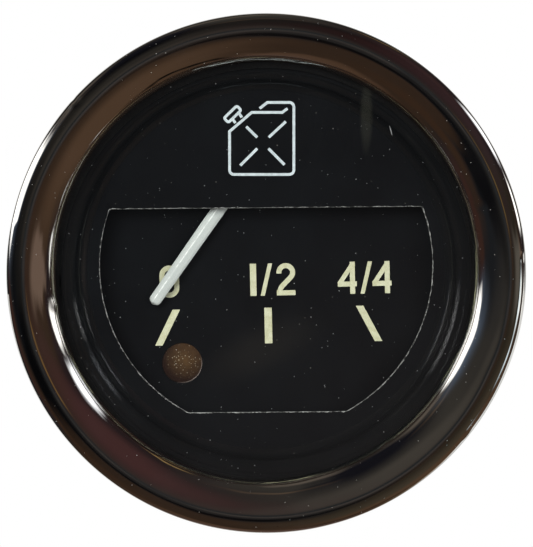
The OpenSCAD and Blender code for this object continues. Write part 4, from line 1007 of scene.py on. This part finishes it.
def mirror_ball(tree, ray, parts):
    """Where a ray lands on the mirror ball, with a drift that makes the patches' outlines wander."""
    drift = add(tree, "ShaderNodeTexNoise", {"Vector": ray, "Scale": 2.6, "Detail": 3.0, "Roughness": 0.55})
    centred = add(tree, "ShaderNodeVectorMath", {
        0: drift.outputs["Color"], 1: (0.5, 0.5, 0.5)}, operation="SUBTRACT")
    # ray.xz / sqrt(2 (1 - ray.y)); the 1 is a little over, so that the root is never of 0
    depth = add(tree, "ShaderNodeMath", {0: 1.0002, 1: parts.outputs[1]}, operation="SUBTRACT")
    double = add(tree, "ShaderNodeMath", {0: depth.outputs[0], 1: 2.0}, operation="MULTIPLY")
    root = add(tree, "ShaderNodeMath", {0: double.outputs[0], 1: -0.5}, operation="POWER")
    flat = add(tree, "ShaderNodeCombineXYZ", {0: parts.outputs[0], 1: parts.outputs[2]})
    ball = add(tree, "ShaderNodeVectorMath", {
        0: flat.outputs[0], "Scale": root.outputs[0]}, operation="SCALE")
    # The drift grows with the distance from the middle
    far_out = add(tree, "ShaderNodeVectorMath", {0: ball.outputs[0]}, operation="LENGTH")
    share = add(tree, "ShaderNodeVectorMath", {
        0: centred.outputs[0], "Scale": far_out.outputs["Value"]}, operation="SCALE")
    wander = add(tree, "ShaderNodeVectorMath", {
        0: share.outputs[0], 1: (0.3, 0.3, 0.0), 2: ball.outputs[0]}, operation="MULTIPLY_ADD")
    return wander.outputs[0]


def make_room():
    """The world: white to the eye, plain soft light for the surfaces, and a dim room for what mirrors it."""
    world = bpy.data.worlds.new("dim_room")
    scene.world = world
    world.use_nodes = True
    tree = world.node_tree
    tree.nodes.clear()
    ray = add(tree, "ShaderNodeTexCoord").outputs["Generated"]
    parts = add(tree, "ShaderNodeSeparateXYZ", {0: ray})
    landed = mirror_ball(tree, ray, parts)
    coats = []
    for name, out, clock, lean, across, outwards, soft, code, strength in ROOM:
        turn = math.radians(clock)
        local = add(tree, "ShaderNodeMapping", {
            "Vector": landed,
            "Location": (out * math.sin(turn), out * math.cos(turn), 0.0),
            "Rotation": (0.0, 0.0, -turn - math.radians(lean)),
            "Scale": (across, outwards, 1.0)}, vector_type="TEXTURE", label=name)
        away = add(tree, "ShaderNodeVectorMath", {0: local.outputs[0]}, operation="LENGTH")
        inside = add(tree, "ShaderNodeMapRange", {
            0: away.outputs["Value"], 1: 1 + soft, 2: 1 - soft, 3: 0.0, 4: 1.0},
            interpolation_type="SMOOTHSTEP")
        shade = tuple(c * strength for c in linear(code)[:3]) + (1.0,)
        coats.append((inside.outputs[0], shade))
    # White backdrop: a wide card right behind the gauge
    card = add(tree, "ShaderNodeMapRange", {0: parts.outputs[1], 1: 0.5, 2: 0.75, 3: 0.0, 4: 1.0})
    colour = layered(tree, linear("282625"), *coats, (card.outputs[0], grey(1.0)))
    path = add(tree, "ShaderNodeLightPath")
    mirrored = add(tree, "ShaderNodeMath", {
        0: path.outputs["Is Glossy Ray"], 1: path.outputs["Is Transmission Ray"]}, operation="MAXIMUM")
    dim = add(tree, "ShaderNodeBackground", {"Color": colour, "Strength": 1.0})
    soft_light = add(tree, "ShaderNodeBackground", {"Color": linear("fbfcfd"), "Strength": 0.45})
    white = add(tree, "ShaderNodeBackground", {"Color": grey(1.0), "Strength": 1.0})
    lit = add(tree, "ShaderNodeMixShader", {
        0: mirrored.outputs[0], 1: soft_light.outputs[0], 2: dim.outputs[0]})
    seen = add(tree, "ShaderNodeMixShader", {
        0: path.outputs["Is Camera Ray"], 1: lit.outputs[0], 2: white.outputs[0]})
    add(tree, "ShaderNodeOutputWorld", {"Surface": seen.outputs[0]})


def make_lamp(name, place, size, watts, tint):
    """A soft square lamp that faces the gauge; metal doesn't mirror it."""
    data = bpy.data.lights.new(name, "AREA")
    data.size = size
    data.energy = watts
    data.color = linear(tint)[:3]
    lamp = bpy.data.objects.new(name, data)
    scene.collection.objects.link(lamp)
    lamp.location = place
    lamp.rotation_euler = (Vector((0, 0, 0)) - Vector(place)).to_track_quat("-Z", "Y").to_euler()
    lamp.visible_glossy = False
    lamp.visible_transmission = False


make_floor()
make_room()
make_lamp("key_lamp", (-0.35, -1.0, 0.25), 0.5, 12.5, "fdfffd")
make_lamp("fill_lamp", (0.5, -0.95, 0.1), 0.6, 6.0, "f6f9ff")
make_lamp("back_lamp", (0.5, 0.9, 0.6), 0.6, 3.5, "ffffff")
